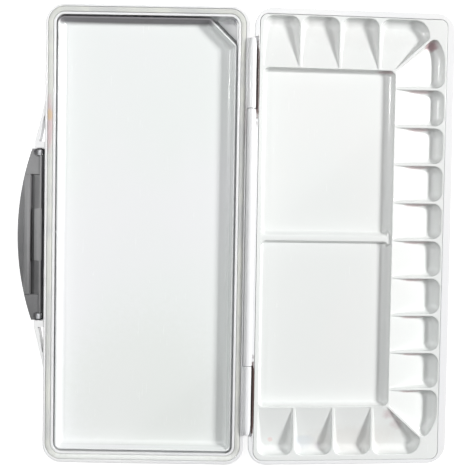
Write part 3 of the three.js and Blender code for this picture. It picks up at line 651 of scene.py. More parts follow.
@dataclass(frozen=True)
class GlossyPlastic(Finish):
    """White moulded plastic with a soft gloss, faint flow marks and fine rubbing."""

    colour: Colour = (0.89, 0.89, 0.892, 1)
    cool: Colour = (0.88, 0.885, 0.9, 1)
    roughness: float = 0.2

    def lay(self, recipe: Recipe) -> None:
        """Writes the material's nodes."""
        flow = recipe.noise(70.0, 2.0, (1, 1.6, 1))
        colour = recipe.mix(flow.between(0.35, 0.65), self.colour, self.cool)
        rubbed = recipe.noise(0.9, 3.0, (1, 22, 1), 3.7).between(0.6, 0.78)
        smudge = recipe.noise(9.0, 4.0, shift=8.1, roughness=0.62).between(0.42, 0.72)
        grime = recipe.noise(2.2, 4.0, shift=5.3, roughness=0.7).between(0.66, 0.86)
        colour = recipe.stained_and_shaded(recipe.mix(grime * 0.05, colour, (0.55, 0.55, 0.5, 1)), self.stains_and_shade)
        roughness = self.roughness + smudge * 0.06 + rubbed * 0.08
        relief = recipe.noise(1.6, 2.0, shift=2.2) * 0.5 + recipe.noise(14.0, 1.0) * 0.5
        recipe.finish(colour, roughness, relief, 0.012, Coat_Weight=0.55, Coat_Roughness=0.06)


@dataclass(frozen=True)
class SoftRubber(Finish):
    """Pale grey rubber with a dull skin, a fine grain, traces of dried paint and a painted highlight along
    its lower run.
    """

    name: str = "gasket_rubber"
    colour: Colour = (0.76, 0.77, 0.72, 1)

    def lay(self, recipe: Recipe) -> None:
        """Writes the material's nodes."""
        age = recipe.noise(18.0, 3.0).between(0.35, 0.7)
        colour = recipe.stained_and_shaded(recipe.mix(age, self.colour, (0.66, 0.67, 0.66, 1)), self.stains_and_shade)
        dust = recipe.noise(0.35, 3.0, shift=4.0)
        recipe.finish(colour, 0.5 + age * 0.15 + dust * 0.1, dust, 0.03)


@dataclass(frozen=True)
class SatinPlastic(Finish):
    """Mid grey moulded plastic with a fine spark-eroded grain, paler towards its upper end."""

    name: str = "latch_plastic"
    colour: Colour = (0.125, 0.125, 0.128, 1)
    upper_end_tone: Colour = (0.275, 0.275, 0.28, 1)

    def lay(self, recipe: Recipe) -> None:
        """Writes the material's nodes."""
        lengthways = recipe.coordinate("Y").between(-50.0, 45.0)
        cloud = recipe.noise(11.0, 3.0, (1, 2, 1)).between(0.35, 0.65)
        colour = recipe.mix((lengthways * 0.8 + cloud * 0.2).limited(), self.colour, self.upper_end_tone)
        grain = recipe.noise(0.22, 2.0, shift=1.3)
        speck = recipe.noise(0.7, 2.0, shift=6.4).between(0.62, 0.75)
        colour = recipe.stained_and_shaded(recipe.mix(speck * 0.12, colour, (0.4, 0.4, 0.4, 1)), self.stains_and_shade)
        recipe.finish(colour, 0.42 + grain * 0.16, grain, 0.02)


@dataclass(frozen=True)
class TurnedSteel(Finish):
    """Bright steel wire, drawn lengthways and cut at its ends."""

    name: str = "pin_metal"
    colour: Colour = (0.56, 0.57, 0.59, 1)

    def lay(self, recipe: Recipe) -> None:
        """Writes the material's nodes."""
        drawn = recipe.noise(0.12, 2.0, (1, 40, 1))
        tarnish = recipe.noise(2.5, 3.0, shift=2.0).between(0.4, 0.8)
        colour = recipe.mix(tarnish * 0.4, self.colour, (0.38, 0.36, 0.33, 1))
        recipe.finish(colour, 0.24 + drawn * 0.18, drawn, 0.006, Metallic=1.0)


# Stains, painted shade and painted highlights, the lowest first. Those of the wells lie in the lid's own
# axes

# ROSE paints shade with a rose tint of painted reflection, on walls that face away from the lamps.
ROSE = (0.42, 0.22, 0.25, 1)
GAP_SHADE = (0.22, 0.21, 0.27, 1)
HINGE_GAP_SHADE = (0.08, 0.035, 0.03, 1)
BLACK = (0.012, 0.012, 0.015, 1)
PALE = (0.36, 0.36, 0.36, 1)

WELL_MARKS = (
    # Painted shade, rose-tinted: the side corner well's tip, the dish's upper wall and the lower corner
    # well's slanted wall.
    StainAndShade((120, 128.8, -4), (5.5, 5, 6), ROSE, 0.85),
    StainAndShade((90, 111.5, -3), (9, 3, 3), ROSE, 0.55),
    StainAndShade((96, -116, -4), (6, 6, 6), ROSE, 0.4),
    StainAndShade((102, -123, -5), (6, 7, 6), ROSE, 0.3),
    StainAndShade((39.5, -136, -6), (11, 6, 4), (0.55, 0.66, 0.78, 1), 0.4),
    StainAndShade((49, -139, -7), (3, 4, 4), (0.66, 0.60, 0.74, 1), 0.35),
    StainAndShade((16.8, -134.5, -6), (2.2, 2.2, 3), (0.80, 0.45, 0.42, 1), 0.35),
    # Painted shade: greyer floors over the lower and the upper end wells.
    StainAndShade((58, -134, -8), (75, 15, 7), (0.76, 0.745, 0.72, 1), 0.55),
    StainAndShade((58, 134, -8), (75, 15, 7), (0.78, 0.78, 0.77, 1), 0.5),
    # Painted shade, rose-tinted, on the wall under each side-well partition.
    *(StainAndShade((112, (i - 4) * 25.0 - 1.5, -3), (14, 1.8, 4), ROSE, 0.5) for i in range(9)),
)
CASE_MARKS = (
    # Painted shade in the gaps between the tray and the case: along the latch side, along the upper end
    # and by the cut corner.
    StainAndShade((-58.4, -45, 19), (1.5, 105, 6), GAP_SHADE, 0.75),
    StainAndShade((0, 142.0, 19), (66, 1.6, 6), GAP_SHADE, 2.0),
    StainAndShade((52, 141.5, 17), (9, 2.5, 8), GAP_SHADE, 0.6),
    StainAndShade((-58.4, 126, 19), (1.4, 16, 6), (0.06, 0.06, 0.08, 1), 0.9),
    # Dark brown painted shade in the gap beside each case knuckle.
    StainAndShade((71.5, 102, 21.6), (1.6, 32, 4.2), HINGE_GAP_SHADE, 2.5),
    StainAndShade((71.5, -105, 21.6), (1.6, 32, 4.2), HINGE_GAP_SHADE, 2.5),
    # A dull rose darkening about the groove on the hinge side.
    StainAndShade((62.5, 78, 20), (3.5, 26, 9), (0.30, 0.22, 0.23, 1), 0.5),
)
TRAY_MARKS = (
    # Painted shade on the tray's upper end wall.
    StainAndShade((-4, 142.4, 19.6), (150, 6.4, 5.6), (0.20, 0.19, 0.205, 1), 1.35, 0.04),
    StainAndShade((0, -110, 16), (70, 80, 4), (0.80, 0.83, 0.80, 1), 0.6),
)
GASKET_MARKS = (
    StainAndShade((-63.5, 72, 23), (3, 24, 3), (0.72, 0.52, 0.54, 1), 0.7),
    StainAndShade((-63.5, 78, 23), (3, 5, 3), (0.76, 0.56, 0.28, 1), 0.6),
    # Painted highlight: a paler lower run of the gasket.
    StainAndShade((0, -146, 23), (90, 7, 6), (0.97, 0.99, 0.97, 1), 1.0),
)
LATCH_MARKS = (
    # Painted shadow round each latch pin in its notch, and painted shade along the heel.
    *(StainAndShade((-70.2, side * 54.0, 19.8), (4.4, 4.0, 6), BLACK, 2.0) for side in SIDES),
    StainAndShade((-68.0, 0, 20), (1.9, 70, 5), BLACK, 0.6),
    # Painted light on the top faces of the ledge and the ridge.
    StainAndShade((-69.6, 0, 23), (2.4, 60, 2.4), PALE, 0.35),
    StainAndShade((-76.4, 0, 23.6), (1.2, 45, 1.6), PALE, 0.45),
)


# The case and what sits in it


@dataclass(frozen=True)
class Case:
    """The deep half: walls, gasket groove, hinge knuckles, and the ears that carry the latch."""

    length: float = 300.0
    width: float = 132.8
    height: float = 23.0
    corner_radius: float = 12.5
    foot_radius: float = 3.0
    draft: float = 2.4
    rim_round: float = 0.6
    floor: float = 2.0
    floor_round: float = 1.6
    walls: tuple[float, ...] = (2.2, 2.7, 1.6, 1.6)
    groove_width: float = 3.6
    groove_depth: float = 3.0
    inner_ring: float = 1.6
    edge: float = 0.3
    half_gap: float = 1.4
    axis_rise: float = 0.25
    knuckle_radius: float = 2.8
    knuckle_tip_radius: float = 2.1
    knuckle_nose: float = 0.7
    knuckle_taper: float = 7.0
    knuckle_near: float = 84.4
    knuckle_length: float = 45.6
    relief: float = 0.4
    relief_sides: int = 48
    gusset_drop: float = 4.2
    gusset_depth: float = 2.4
    pin_bore: float = 1.4
    pivot_out: float = 3.8
    pivot_drop: float = 3.2
    ear_near: float = 56.4
    ear_wall: float = 4.3
    ear_reach: float = 6.4
    ear_slant: float = 27.0
    ear_skin: float = 2.6
    ear_hole: float = 20.0
    ear_top_drop: float = 0.4
    ear_height: float = 8.6
    ear_edge: float = 0.35
    groove_margin: float = 5.0
    latch_bore: float = 1.9
    shelf_line: float = 187.07
    shelf_top: float = 10.5
    shelf_edge: float = 0.5
    tray_ledge: float = 0.9
    tray_ledge_drop: float = 4.5

    @property
    def plan(self) -> Outline:
        """The case's outer edge, seen from above."""
        half = (self.width / 2, self.length / 2)
        return Outline.rectangle((-half[0], -half[1]), half, self.corner_radius)

    @property
    def axis(self) -> Point:
        """X and Z of the hinge's line."""
        return (self.width / 2 + self.half_gap, self.height + self.axis_rise)

    @property
    def pivot(self) -> Point:
        """X and Z of the latch's line."""
        return (-self.width / 2 - self.pivot_out, self.height - self.pivot_drop)

    @property
    def knuckle_far(self) -> float:
        """The outer end of the upper knuckle."""
        return self.knuckle_near + self.knuckle_length

    def insets(self, amount: float, more: float = 0.0) -> tuple[float, ...]:
        """Insets from the rim wall's inner face, with more on the two long sides."""
        lower, hinge, upper, latch = (wall + amount for wall in self.walls)
        return (lower, hinge + more, upper, latch + more)

    def _levels(self) -> list[tuple[Inset, float]]:
        """Insets and heights of the case's skin, from under its floor round to its inside."""
        top, soft, foot, rim = self.height, self.edge, self.foot_radius, self.rim_round
        groove, shelf = top - self.groove_depth, top - self.tray_ledge_drop
        width, ring = self.groove_width, self.groove_width + self.inner_ring
        inside = [
            *rise(3, 0, top, -soft, -soft), (0, groove), (width, groove),
            *level_off(3, width, top, soft, -soft), *rise(3, ring, top, -soft, -soft)]
        return [
            *rise(8, self.draft, 0, foot, foot), *level_off(4, 0, top, rim, -rim),
            *((self.insets(amount), z) for amount, z in inside),
            *((self.insets(ring, more), z) for more, z in level_off(3, 0, shelf, soft, soft)),
            (self.insets(ring, self.tray_ledge), shelf - soft),
            *((self.insets(amount, self.tray_ledge), z) for amount, z in level_off(
                4, ring, self.floor, self.floor_round, self.floor_round))]

    def _knuckle(self, side: int) -> tuple[Mesh, Mesh]:
        """A case knuckle with its tapered outer end, and the gusset under it."""
        near, far, taper, nose = self.knuckle_near, self.knuckle_far, self.knuckle_taper, self.knuckle_nose
        radius, tip, soft = self.knuckle_radius, self.knuckle_tip_radius, self.edge
        swell = (radius + tip) / 2 + 0.12
        profile = [
            (0, near), (radius - soft, near), (radius - soft * 0.3, near + soft * 0.3),
            (radius, near + soft), (radius, far - taper), (swell, far - taper * 0.45),
            (tip, far - nose), (tip - 0.25, far - 0.2), (tip - nose, far), (0, far)]
        barrel = lathe([(r, side * y) for r, y in profile], self.axis)
        x, z = self.axis
        wall, low, high = x - self.half_gap - self.gusset_depth, z - radius, z - self.axis_rise
        corners = [(wall, low - self.gusset_drop), (x, low), (x, high), (wall, high)]
        return barrel, along(corners, side_span(side, near, far - taper), soft)

    def _ear(self, side: int) -> Mesh:
        """A wedge-shaped ear beside the latch, with its slanted wall and open middle."""
        near, bend = self.ear_near, self.ear_near + self.ear_wall
        rim = -self.width / 2
        root, out = rim + self.walls[3] + self.groove_width / 2, rim - self.ear_reach
        top = self.height - self.ear_top_drop
        low = top - self.ear_height

        def plan(points: list[Point], radii: tuple[float, ...]) -> Outline:
            """The outline on this side, kept anticlockwise."""
            placed = tuple((x, side * y) for x, y in points)
            return Outline(placed[::side], radii[::side])

        body = plan(
            [(root, near), (root, bend + self.ear_slant), (rim, bend + self.ear_slant),
             (out, bend), (out, near)], (0.3, 0.3, 1.0, 1.6, 0.5))
        hole = plan(
            [(rim, bend), (rim, bend + self.ear_hole), (out + self.ear_skin, bend)], (0.5,) * 3)
        ear = block_object("ear", upright(body, low, top, self.ear_edge))
        shape(ear, Joining.CUT, [upright(hole, low - THROUGH, top + THROUGH)])
        return release(ear)

    def _shelf(self) -> Mesh:
        """The shelf in the corner beyond the tray's cut corner, let into the walls beside it."""
        inner, sunk = self.insets(self.groove_width + self.inner_ring), 0.5
        right, top = self.width / 2 - inner[1] + sunk, self.length / 2 - inner[2] + sunk
        corners = ((right, self.shelf_line - right), (right, top), (self.shelf_line - top, top))
        plan = Outline(corners, (LEAST_RADIUS,) * 3)
        return upright(plan, self.floor / 2, self.shelf_top, self.shelf_edge)

    def _cuts(self) -> list[Mesh]:
        """What is cut out: room for the lid's knuckle, the bores, and the groove past the ears."""
        near, rim = self.knuckle_near, self.walls[3] - self.width / 2
        ear_far = self.ear_near + self.ear_wall
        tools = [bar(self.knuckle_radius + self.relief, (-near, near), self.axis, self.relief_sides)]
        for side in SIDES:
            tools.append(bar(
                self.pin_bore, side_span(side, near - THROUGH, self.knuckle_far + THROUGH), self.axis))
            tools.append(bar(
                self.latch_bore, side_span(side, self.ear_near - THROUGH, ear_far + THROUGH),
                self.pivot))
            low, high = side_span(
                side, self.ear_near - self.groove_margin, ear_far + self.ear_slant + self.groove_margin)
            groove = Outline.rectangle((rim, low), (rim + self.groove_width, high), HAIR)
            tools.append(upright(groove, self.height - self.groove_depth, self.height + THROUGH))
        return tools

    def build(self, material: bpy.types.Material) -> None:
        """Builds and dresses the case."""
        levels = ((self.plan.inset(inset), z) for inset, z in self._levels())
        case = block_object("case_shell", stack(levels, CORNER_STEPS))
        for side in SIDES:
            shape(case, Joining.ADD, [*self._knuckle(side), self._ear(side)])
        shape(case, Joining.ADD, [self._shelf()])
        shape(case, Joining.CUT, self._cuts())
        complete(case, Body.CASE, material, "base_case")


@dataclass(frozen=True)
class Gasket:
    """The soft ring in the case's groove, crowned above the rim."""

    case: Case
    seat_gap: float = 0.2
    proud: float = 0.15
    shoulder: float = 0.5
    crown_steps: int = 8
    corner_steps: int = 12

    def build(self, material: bpy.types.Material) -> None:
        """Builds and dresses the gasket."""
        case = self.case
        low = case.height - case.groove_depth + self.seat_gap
        high = case.height + self.proud
        middle = case.groove_width / 2
        reach = middle - self.seat_gap
        levels = [(-reach, low), (-reach, high - self.shoulder)]
        for i in range(1, self.crown_steps):
            turn = math.pi * i / self.crown_steps
            levels.append((-reach * math.cos(turn), high - self.shoulder * (1 - math.sin(turn) ** 0.5)))
        levels += [(reach, high - self.shoulder), (reach, low)]
        rings = ((case.plan.inset(case.insets(middle + amount)), z) for amount, z in levels)
        gasket = block_object("gasket_ring", stack(rings, self.corner_steps, "round"))
        complete(gasket, Body.CASE, material, "rim_gasket", sharp=50)


@dataclass(frozen=True)
class MixingTray:
    """The lift-out tray: a shallow pan with a rounded rim and one corner cut off, on a skirt that
    stands on the case's floor and is open underneath."""

    case: Case
    gap: float = 0.9
    drop: float = 1.0
    depth: float = 5.8
    wall: float = 1.5
    floor: float = 1.6
    stand: float = 0.3
    draft: float = 1.2
    fillet: float = 3.0
    skirt_draft: float = 2.0
    foot: float = 0.8
    corner_radius: float = 4.0
    chamfer: float = 17.5
    chamfer_radius: float = 1.5
    corner_steps: int = 10
    nub_place: Triple = (0.35, 1.9, -2.7)
    nub_radius: float = 0.9
    nub_length: float = 2.5
    nub_edge: float = 0.3
    nub_sides: int = 16

    @property
    def plan(self) -> Outline:
        """The tray's rim, seen from above."""
        case = self.case
        lower, hinge, upper, latch = case.insets(case.groove_width + case.inner_ring + self.gap)
        x0, x1 = -case.width / 2 + latch, case.width / 2 - hinge
        y0, y1 = -case.length / 2 + lower, case.length / 2 - upper
        corners = ((x0, y0), (x1, y0), (x1, y1 - self.chamfer), (x1 - self.chamfer, y1), (x0, y1))
        soft, cut = self.corner_radius, self.chamfer_radius
        return Outline(corners, (soft, soft, cut, cut, soft))

    def _levels(self) -> list[Point]:
        """Insets and heights of its skin, from under the pan over the rim to the pan's floor."""
        low, high = self.case.floor + self.stand, self.case.height - self.drop
        pan, soft = high - self.depth, self.wall / 2
        inner, fillet = self.wall + self.skirt_draft, self.fillet
        return [
            (inner, pan - self.floor), (inner, low),
            *rise(3, self.skirt_draft, low, self.foot, self.foot),
            *level_off(4, 0, high, soft, -soft), *rise(4, self.wall, high, -soft, -soft)[1:],
            *level_off(10, self.wall + self.draft, pan, fillet, fillet)]

    def _nub(self) -> Mesh:
        """The small round lug under the rim, beside the latch."""
        radius, length, edge = self.nub_radius, self.nub_length, self.nub_edge
        nub = lathe([(0, 0), (radius, 0), (radius, length - edge), (radius - edge, length), (0, length)],
                    (0, 0), self.nub_sides)
        x, y, z = self.nub_place
        place = (self.plan.corners[0][0] + x, y, self.case.height - self.drop + z)
        turn = Matrix.Rotation(math.pi / 2, 3, "X")
        bmesh.ops.rotate(nub, verts=nub.verts[:], cent=(0, 0, 0), matrix=turn)
        bmesh.ops.translate(nub, verts=nub.verts[:], vec=place)
        return nub

    def build(self, material: bpy.types.Material) -> None:
        """Builds and dresses the tray."""
        levels = ((self.plan.inset(inset), z) for inset, z in self._levels())
        tray = block_object("lift_out_tray", stack(levels, self.corner_steps))
        shape(tray, Joining.ADD, [self._nub()])
        complete(tray, Body.TRAY, material, "mixing_tray")


# The lid and its well tray


@dataclass(frozen=True)
class Lid:
    """The shallow half, in its own axes: X from the hinge outwards, Z from the plane of its rim."""

    case: Case
    depth: float = 11.5
    floor: float = 1.6
    floor_round: float = 1.0
    draft: float = 1.5
    lands: tuple[float, ...] = (2.5, 5.4, 3.9, 3.2)
    pocket_radius: float = 9.5
    overhang: float = 1.0
    lip: float = 1.4
    edge: float = 0.3
    knuckle_half: float = 84.0
    web_top: float = -0.05
    web_edge: float = 0.2
    recess_gap: float = 1.1
    recess_margin: float = 1.0
    recess_sides: int = 56
    pin_reach: float = 20.5
    catch_half: float = 40.9
    catch_height: float = 3.9
    catch_depth: float = 1.8
    rib_width: float = 1.5
    rib_taper: float = 0.6

    @property
    def near(self) -> float:
        """Its edge beside the hinge."""
        return self.case.half_gap

    @property
    def far(self) -> float:
        """Its far edge, with the lip."""
        return self.case.half_gap + self.case.width + self.overhang

    @property
    def pocket_floor(self) -> float:
        """Height of the floor under the well tray."""
        return self.floor - self.depth

    @property
    def place(self) -> Matrix:
        """Where the open lid lies in the frame, in millimetres."""
        joint = next(joint for joint in frame["joints"] if joint["name"] == "lid_hinge")
        turn = Matrix.Rotation(math.radians(joint["range_deg"][1] - 180), 4, "Y")
        lift = Matrix.Translation((0, 0, -self.case.axis_rise))
        return Matrix.Translation(Vector(joint["pos_m"]) / MILLIMETRE) @ turn @ lift

    def plan(self, radius: float) -> Outline:
        """The rim's outer edge, with corners of a radius."""
        half = self.case.length / 2
        return Outline.rectangle((self.near, -half), (self.far, half), radius)

    def outside(self, inset: float, more: float) -> Outline:
        """The outside's edge, with more inset on the far side."""
        return self.plan(self.case.corner_radius).inset([inset, inset + more, inset, inset])

    def pocket(self, gap: float, height: float) -> Outline:
        """The pocket's edge at a height, or with a gap what fits in it."""
        shrink = gap + self.draft * height / self.pocket_floor
        return self.plan(self.pocket_radius).inset([land + shrink for land in self.lands])

    def _levels(self) -> list[tuple[Outline, float]]:
        """Outlines and heights of its skin, from under its floor round to the pocket."""
        foot, rim, edge, soft = self.case.foot_radius, self.case.rim_round, self.edge, self.floor_round
        pocket = [*rise(3, 0, 0, -edge, -edge), *level_off(3, 0, self.pocket_floor, soft, soft)]
        return [
            *((self.outside(inset, self.overhang), z)
              for inset, z in rise(8, self.draft, -self.depth, foot, foot)),
            (self.outside(0, self.overhang), -self.lip),
            *((self.outside(0, more), z) for more, z in rise(2, 0, -self.lip, edge, edge)),
            *((self.outside(inset, 0), z) for inset, z in level_off(4, 0, 0, rim, -rim)),
            *((self.pocket(gap, z), z) for gap, z in pocket)]

    def _knuckle(self) -> list[Mesh]:
        """The long knuckle and the gusset under it."""
        case, half, soft = self.case, self.knuckle_half, self.edge
        radius, rise_to_axis = case.knuckle_radius, case.axis_rise
        profile = [(0, -half), (radius - soft, -half), (radius, soft - half), (radius, half - soft),
                   (radius - soft, half), (0, half)]
        web, low, high = case.half_gap + case.gusset_depth, rise_to_axis - radius, self.web_top
        corners = [(0, low), (web, low - case.gusset_drop), (web, high), (0, high)]
        return [lathe(profile, (0, rise_to_axis), case.relief_sides),
                along(corners, (-half, half), self.web_edge)]

    def _rib(self, x: float, reach: float, top: float) -> Mesh:
        """A rib that carries the well tray, at a place, with its half length and its top."""
        half, low = self.rib_width / 2, self.pocket_floor - self.floor / 2
        crest = half * self.rib_taper
        corners = [(x - half, low), (x + half, low), (x + crest, top), (x - crest, top)]
        return along(corners, (-reach, reach))

    def build(self, material: bpy.types.Material, ribs: Sequence[Triple]) -> None:
        """Builds and dresses the lid.

        Args:
            material: Its finish.
            ribs: Place, half length and top of each rib that carries the well tray.
        """
        lid = block_object("lid_cover", stack(self._levels(), CORNER_STEPS))
        case, half, centre = self.case, self.knuckle_half, (0, self.case.axis_rise)
        recess, recess_far = case.knuckle_radius + self.recess_gap, case.knuckle_far + self.recess_margin
        shape(lid, Joining.CUT, [
            bar(recess, side_span(side, half, recess_far), centre, self.recess_sides)
            for side in SIDES])
        inner, beyond = self.far - self.catch_depth, self.far + THROUGH
        under, sill = -self.lip - self.catch_height, -self.lip - HAIR
        catch = [(inner, under), (beyond, under), (beyond, sill), (inner, sill)]
        shape(lid, Joining.CUT, [along(catch, (-self.catch_half, self.catch_half))])
        shape(lid, Joining.ADD, self._knuckle())
        shape(lid, Joining.ADD, [self._rib(*rib) for rib in ribs])
        shape(lid, Joining.CUT, [
            bar(case.pin_bore, side_span(side, half - self.pin_reach, half + THROUGH), centre)
            for side in SIDES])
        complete(lid, Body.LID, material, "lid_shell", self.place)


@dataclass(frozen=True)
class Well:
    """One paint well: its mouth, how wide each edge's wall is at full depth, and its fall."""

    mouth: Outline
    widths: tuple[float, ...]
    start: float
    end: float
    direction: Point
    depth: float
    start_depth: float
    lip: float = 0.6
    floor_radius: float = 3.0
    wall_start: float = 14.0
    wall_steps: int = 10
    corner_steps: int = 9

    def depth_at(self, x: float, y: float) -> float:
        """Depth of the floor under a point."""
        fall = (x * self.direction[0] + y * self.direction[1] - self.start) / (self.end - self.start)
        return self.start_depth + (self.depth - self.start_depth) * min(max(fall, 0.0), 1.0)

    def lip_at(self, x: float, y: float) -> float:
        """Radius of the mouth's edge at a point, small where the well is shallow."""
        share = (self.depth_at(x, y) - self.start_depth) / (self.depth - self.start_depth)
        shallow = self.start_depth * 0.6
        return shallow + (self.lip - shallow) * min(1.0, share)

    def _grown(self, out: float) -> Outline:
        """The mouth grown by a share of its edge's radius."""
        corners = self.mouth.moved(lambda i, point: -self.lip_at(*point) * out)
        return Outline(corners, tuple(radius + self.lip * out * 0.5 for radius in self.mouth.radii))

    def _narrowed(self, share: float, full: tuple[Point, ...]) -> Outline:
        """The mouth drawn in by a share of the way to the floor's corners."""
        corners = tuple(
            (x + (fx - x) * share, y + (fy - y) * share)
            for (x, y), (fx, fy) in zip(self.mouth.corners, full))
        return Outline(corners, tuple(
            radius + (self.floor_radius - radius) * share for radius in self.mouth.radii))

    def cavity(self) -> Mesh:
        """The well's skin from the plate's top down to its floor, open at the top."""

        def height(down: float, sunk: float) -> Height:
            """Heights at a share of the edge's radius and of the depth below it."""
            return lambda x, y: -self.lip_at(x, y) * down - (
                self.depth_at(x, y) - self.lip_at(x, y)) * sunk

        full = self.mouth.moved(
            lambda i, point: self.widths[i] * self.depth_at(*point) / self.depth)
        levels = [(self._grown(out), height(down, 0)) for out, down in rise(3, 0, 0, 1, 1)]
        levels += [
            (self._narrowed(share, full), height(1, sunk))
            for share, sunk in hollow(self.wall_steps, self.wall_start)]
        return stack(levels, self.corner_steps, "last")


@dataclass(frozen=True)
class WellTray:
    """The inset tray: two dishes with a rib between them, and 18 wells round three sides."""

    lid: Lid
    gap: float = 0.3
    edge: float = 0.25
    rim_hinge: float = 2.7
    rim_far: float = 1.2
    rim_upper: float = 1.7
    rim_lower: float = 2.8
    mix_end: float = 111.4
    far_length: float = 32.5
    depth: float = 8.0
    start_depth: float = 0.3
    first_width: float = 23.2
    partition: float = 1.6
    deep_radius: float = 5.8
    start_radius: float = 0.8
    deep_wall: float = 6.0
    side_wall: float = 5.0
    side_wells: int = 8
    end_wells: int = 3
    corner_share: float = 11.4
    corner_back: float = 10.8
    corner_radius: float = 16.0
    corner_tip: float = 6.0
    corner_reach: float = 11.9
    corner_slant: float = 0.6
    side_corner_radius: float = 22.0
    side_corner_tip: float = 4.0
    side_corner_reach: float = 10.2
    side_corner_slant: float = 10.7
    diagonal: float = 42.5
    dish_depth: float = 5.5
    dish_slopes: tuple[float, ...] = (2.6, 5.5, 2.6, 2.6)
    dish_radius: float = 4.0
    dish_lip: float = 0.35
    dish_corner_steps: int = 12
    dish_wall_steps: int = 12
    dish_wall_start: float = 10.0
    underside: float = 9.2
    underside_edge: float = 0.6
    dish_underside: float = 6.7
    dish_underside_margin: float = 1.0
    dish_underside_radius: float = 3.0
    seat_gap: float = 0.2
    rib_drop: float = 1.4
    rib_foot: float = 0.6
    rib_sink: float = 0.03
    rib_flare: float = 3.0
    rib_upper: Point = (1.5, 5.3)
    rib_lower: Point = (-1.0, -3.2)
    rib_ends: Point = (0.9, -2.6)
    rib_overlaps: Point = (-2.2, 2.9)
    rib_steps: int = 8
    flare_steps: int = 6

    @property
    def mix_near(self) -> float:
        """The dishes' edge beside the hinge."""
        return self.lid.near + self.lid.lands[3] + self.gap + self.rim_hinge

    @property
    def well_far(self) -> float:
        """The deep ends of the side wells."""
        return self.lid.far - self.lid.lands[1] - self.gap - self.rim_far

    @property
    def mix_far(self) -> float:
        """The dishes' edge beside the side wells."""
        return self.well_far - self.far_length - self.partition / 2

    @property
    def side_half(self) -> float:
        """Half of the length that the side wells share."""
        return self.mix_end - self.corner_share

    def well_end(self, sign: int) -> float:
        """The deep ends of the end wells on the upper (1) or the lower (-1) side."""
        rim = self.rim_upper if sign > 0 else self.rim_lower
        half = self.lid.case.length / 2
        return half - self.lid.lands[2] - self.gap - rim + self.partition / 2

    def ribs(self) -> list[Triple]:
        """Place, half length and top of the lid's ribs under the tray."""
        third = (self.mix_far - self.mix_near) / 3
        dish, well = -self.dish_underside - self.seat_gap, -self.underside - self.seat_gap
        return [(self.mix_near + third, self.side_half, dish),
                (self.mix_far - third, self.side_half, dish),
                (self.well_far - self.deep_wall, self.side_half, well)]

    def _well(self, sign: int, corners: list[Point], radii: list[float], widths: list[float],
              span: Point, direction: Point) -> Well:
        """A well with the tray's own depths, drawn on the upper side.

        Args:
            sign: 1 to keep it there, -1 to mirror it to the lower side.
            corners: Corners of its mouth, anticlockwise.
            radii: Their radii.
            widths: Width of each edge's wall at full depth.
            span: Where its fall starts and ends along the direction.
            direction: Which way it falls.

        Returns:
            The well.
        """
        points = [(x, sign * y) for x, y in corners]
        if sign < 0:
            points, radii, widths = points[::-1], radii[::-1], [*widths[:-1][::-1], widths[-1]]
        return Well(Outline(tuple(points), tuple(radii)), tuple(widths), *span, direction,
                    self.depth, self.start_depth)

    def _side_wells(self) -> list[Well]:
        """The straight row along the far side."""
        half, outer, small = self.partition / 2, self.deep_radius, self.start_radius
        near, far = self.mix_far + half, self.well_far
        pitch = 2 * self.side_half / self.side_wells
        found = []
        for i in range(self.side_wells):
            low = i * pitch - self.side_half + half
            high = low + pitch - 2 * half
            found.append(self._well(
                1, [(near, low), (far, low), (far, high), (near, high)],
                [small, outer, outer, small], [self.side_wall, self.deep_wall, self.side_wall, 0],
                (near, far), (1, 0)))
        return found

    def _slanted(self, offset: float) -> tuple[Callable[[float], Point], Callable[[float], Point]]:
        """Points of a slanted partition's face at an offset from its middle, by x and by y."""
        angle = math.radians(self.diagonal)
        x0 = self.mix_far - offset * math.sin(angle)
        y0 = self.mix_end + offset * math.cos(angle)
        return (lambda x: (x, y0 + (x - x0) * math.tan(angle)),
                lambda y: (x0 + (y - y0) / math.tan(angle), y))

    def _end_wells(self, sign: int) -> list[Well]:
        """The wells at one end: the straight ones, then the two beside the slanted partition."""
        half, outer, small = self.partition / 2, self.deep_radius, self.start_radius
        side, deep = self.side_wall, self.deep_wall
        near, far = self.mix_far + half, self.well_far
        last = self.mix_far - self.corner_back
        first = self.mix_near + self.first_width + half
        step = (last - first) / (self.end_wells - 1)
        begin, end = self.mix_end + half, self.well_end(sign)
        found = []
        for i in range(self.end_wells):
            low = self.mix_near if i == 0 else first + (i - 1) * step + half
            high = first + i * step - half
            found.append(self._well(
                sign, [(low, begin), (high, begin), (high, end), (low, end)],
                [small, small, outer, outer], [0, side, deep, side], (begin, end), (0, sign)))
        by_x, by_y = self._slanted(half)
        low, corner_far = last + half, far - self.corner_reach + self.rim_far
        found.append(self._well(
            sign, [(low, begin), by_y(begin), by_x(corner_far),
                   (corner_far - self.corner_slant, end), (low, end)],
            [small, small, self.corner_tip, self.corner_radius, outer],
            [0, side, side, deep, side], (begin, end), (0, sign)))
        by_x, by_y = self._slanted(-half)
        low, tip = self.side_half + half, end - self.side_corner_reach
        found.append(self._well(
            sign, [(near, low), (far, low), (far, tip - self.side_corner_slant), by_y(tip), by_x(near)],
            [small, outer, self.side_corner_radius, self.side_corner_tip, small],
            [side, deep, side, side, 0], (near, far), (1, 0)))
        return found

    def _dish(self) -> Mesh:
        """The skin of both dishes, before the rib between them."""
        lip = self.dish_lip
        plan = Outline.rectangle(
            (self.mix_near, -self.mix_end), (self.mix_far, self.mix_end), self.dish_radius)
        levels = [(plan.inset(inset), z) for inset, z in rise(3, 0, 0, -lip, -lip)]
        levels += [
            (plan.inset([slope * share for slope in self.dish_slopes]),
             -lip - (self.dish_depth - lip) * sunk)
            for share, sunk in hollow(self.dish_wall_steps, self.dish_wall_start)]
        return stack(levels, self.dish_corner_steps, "last")

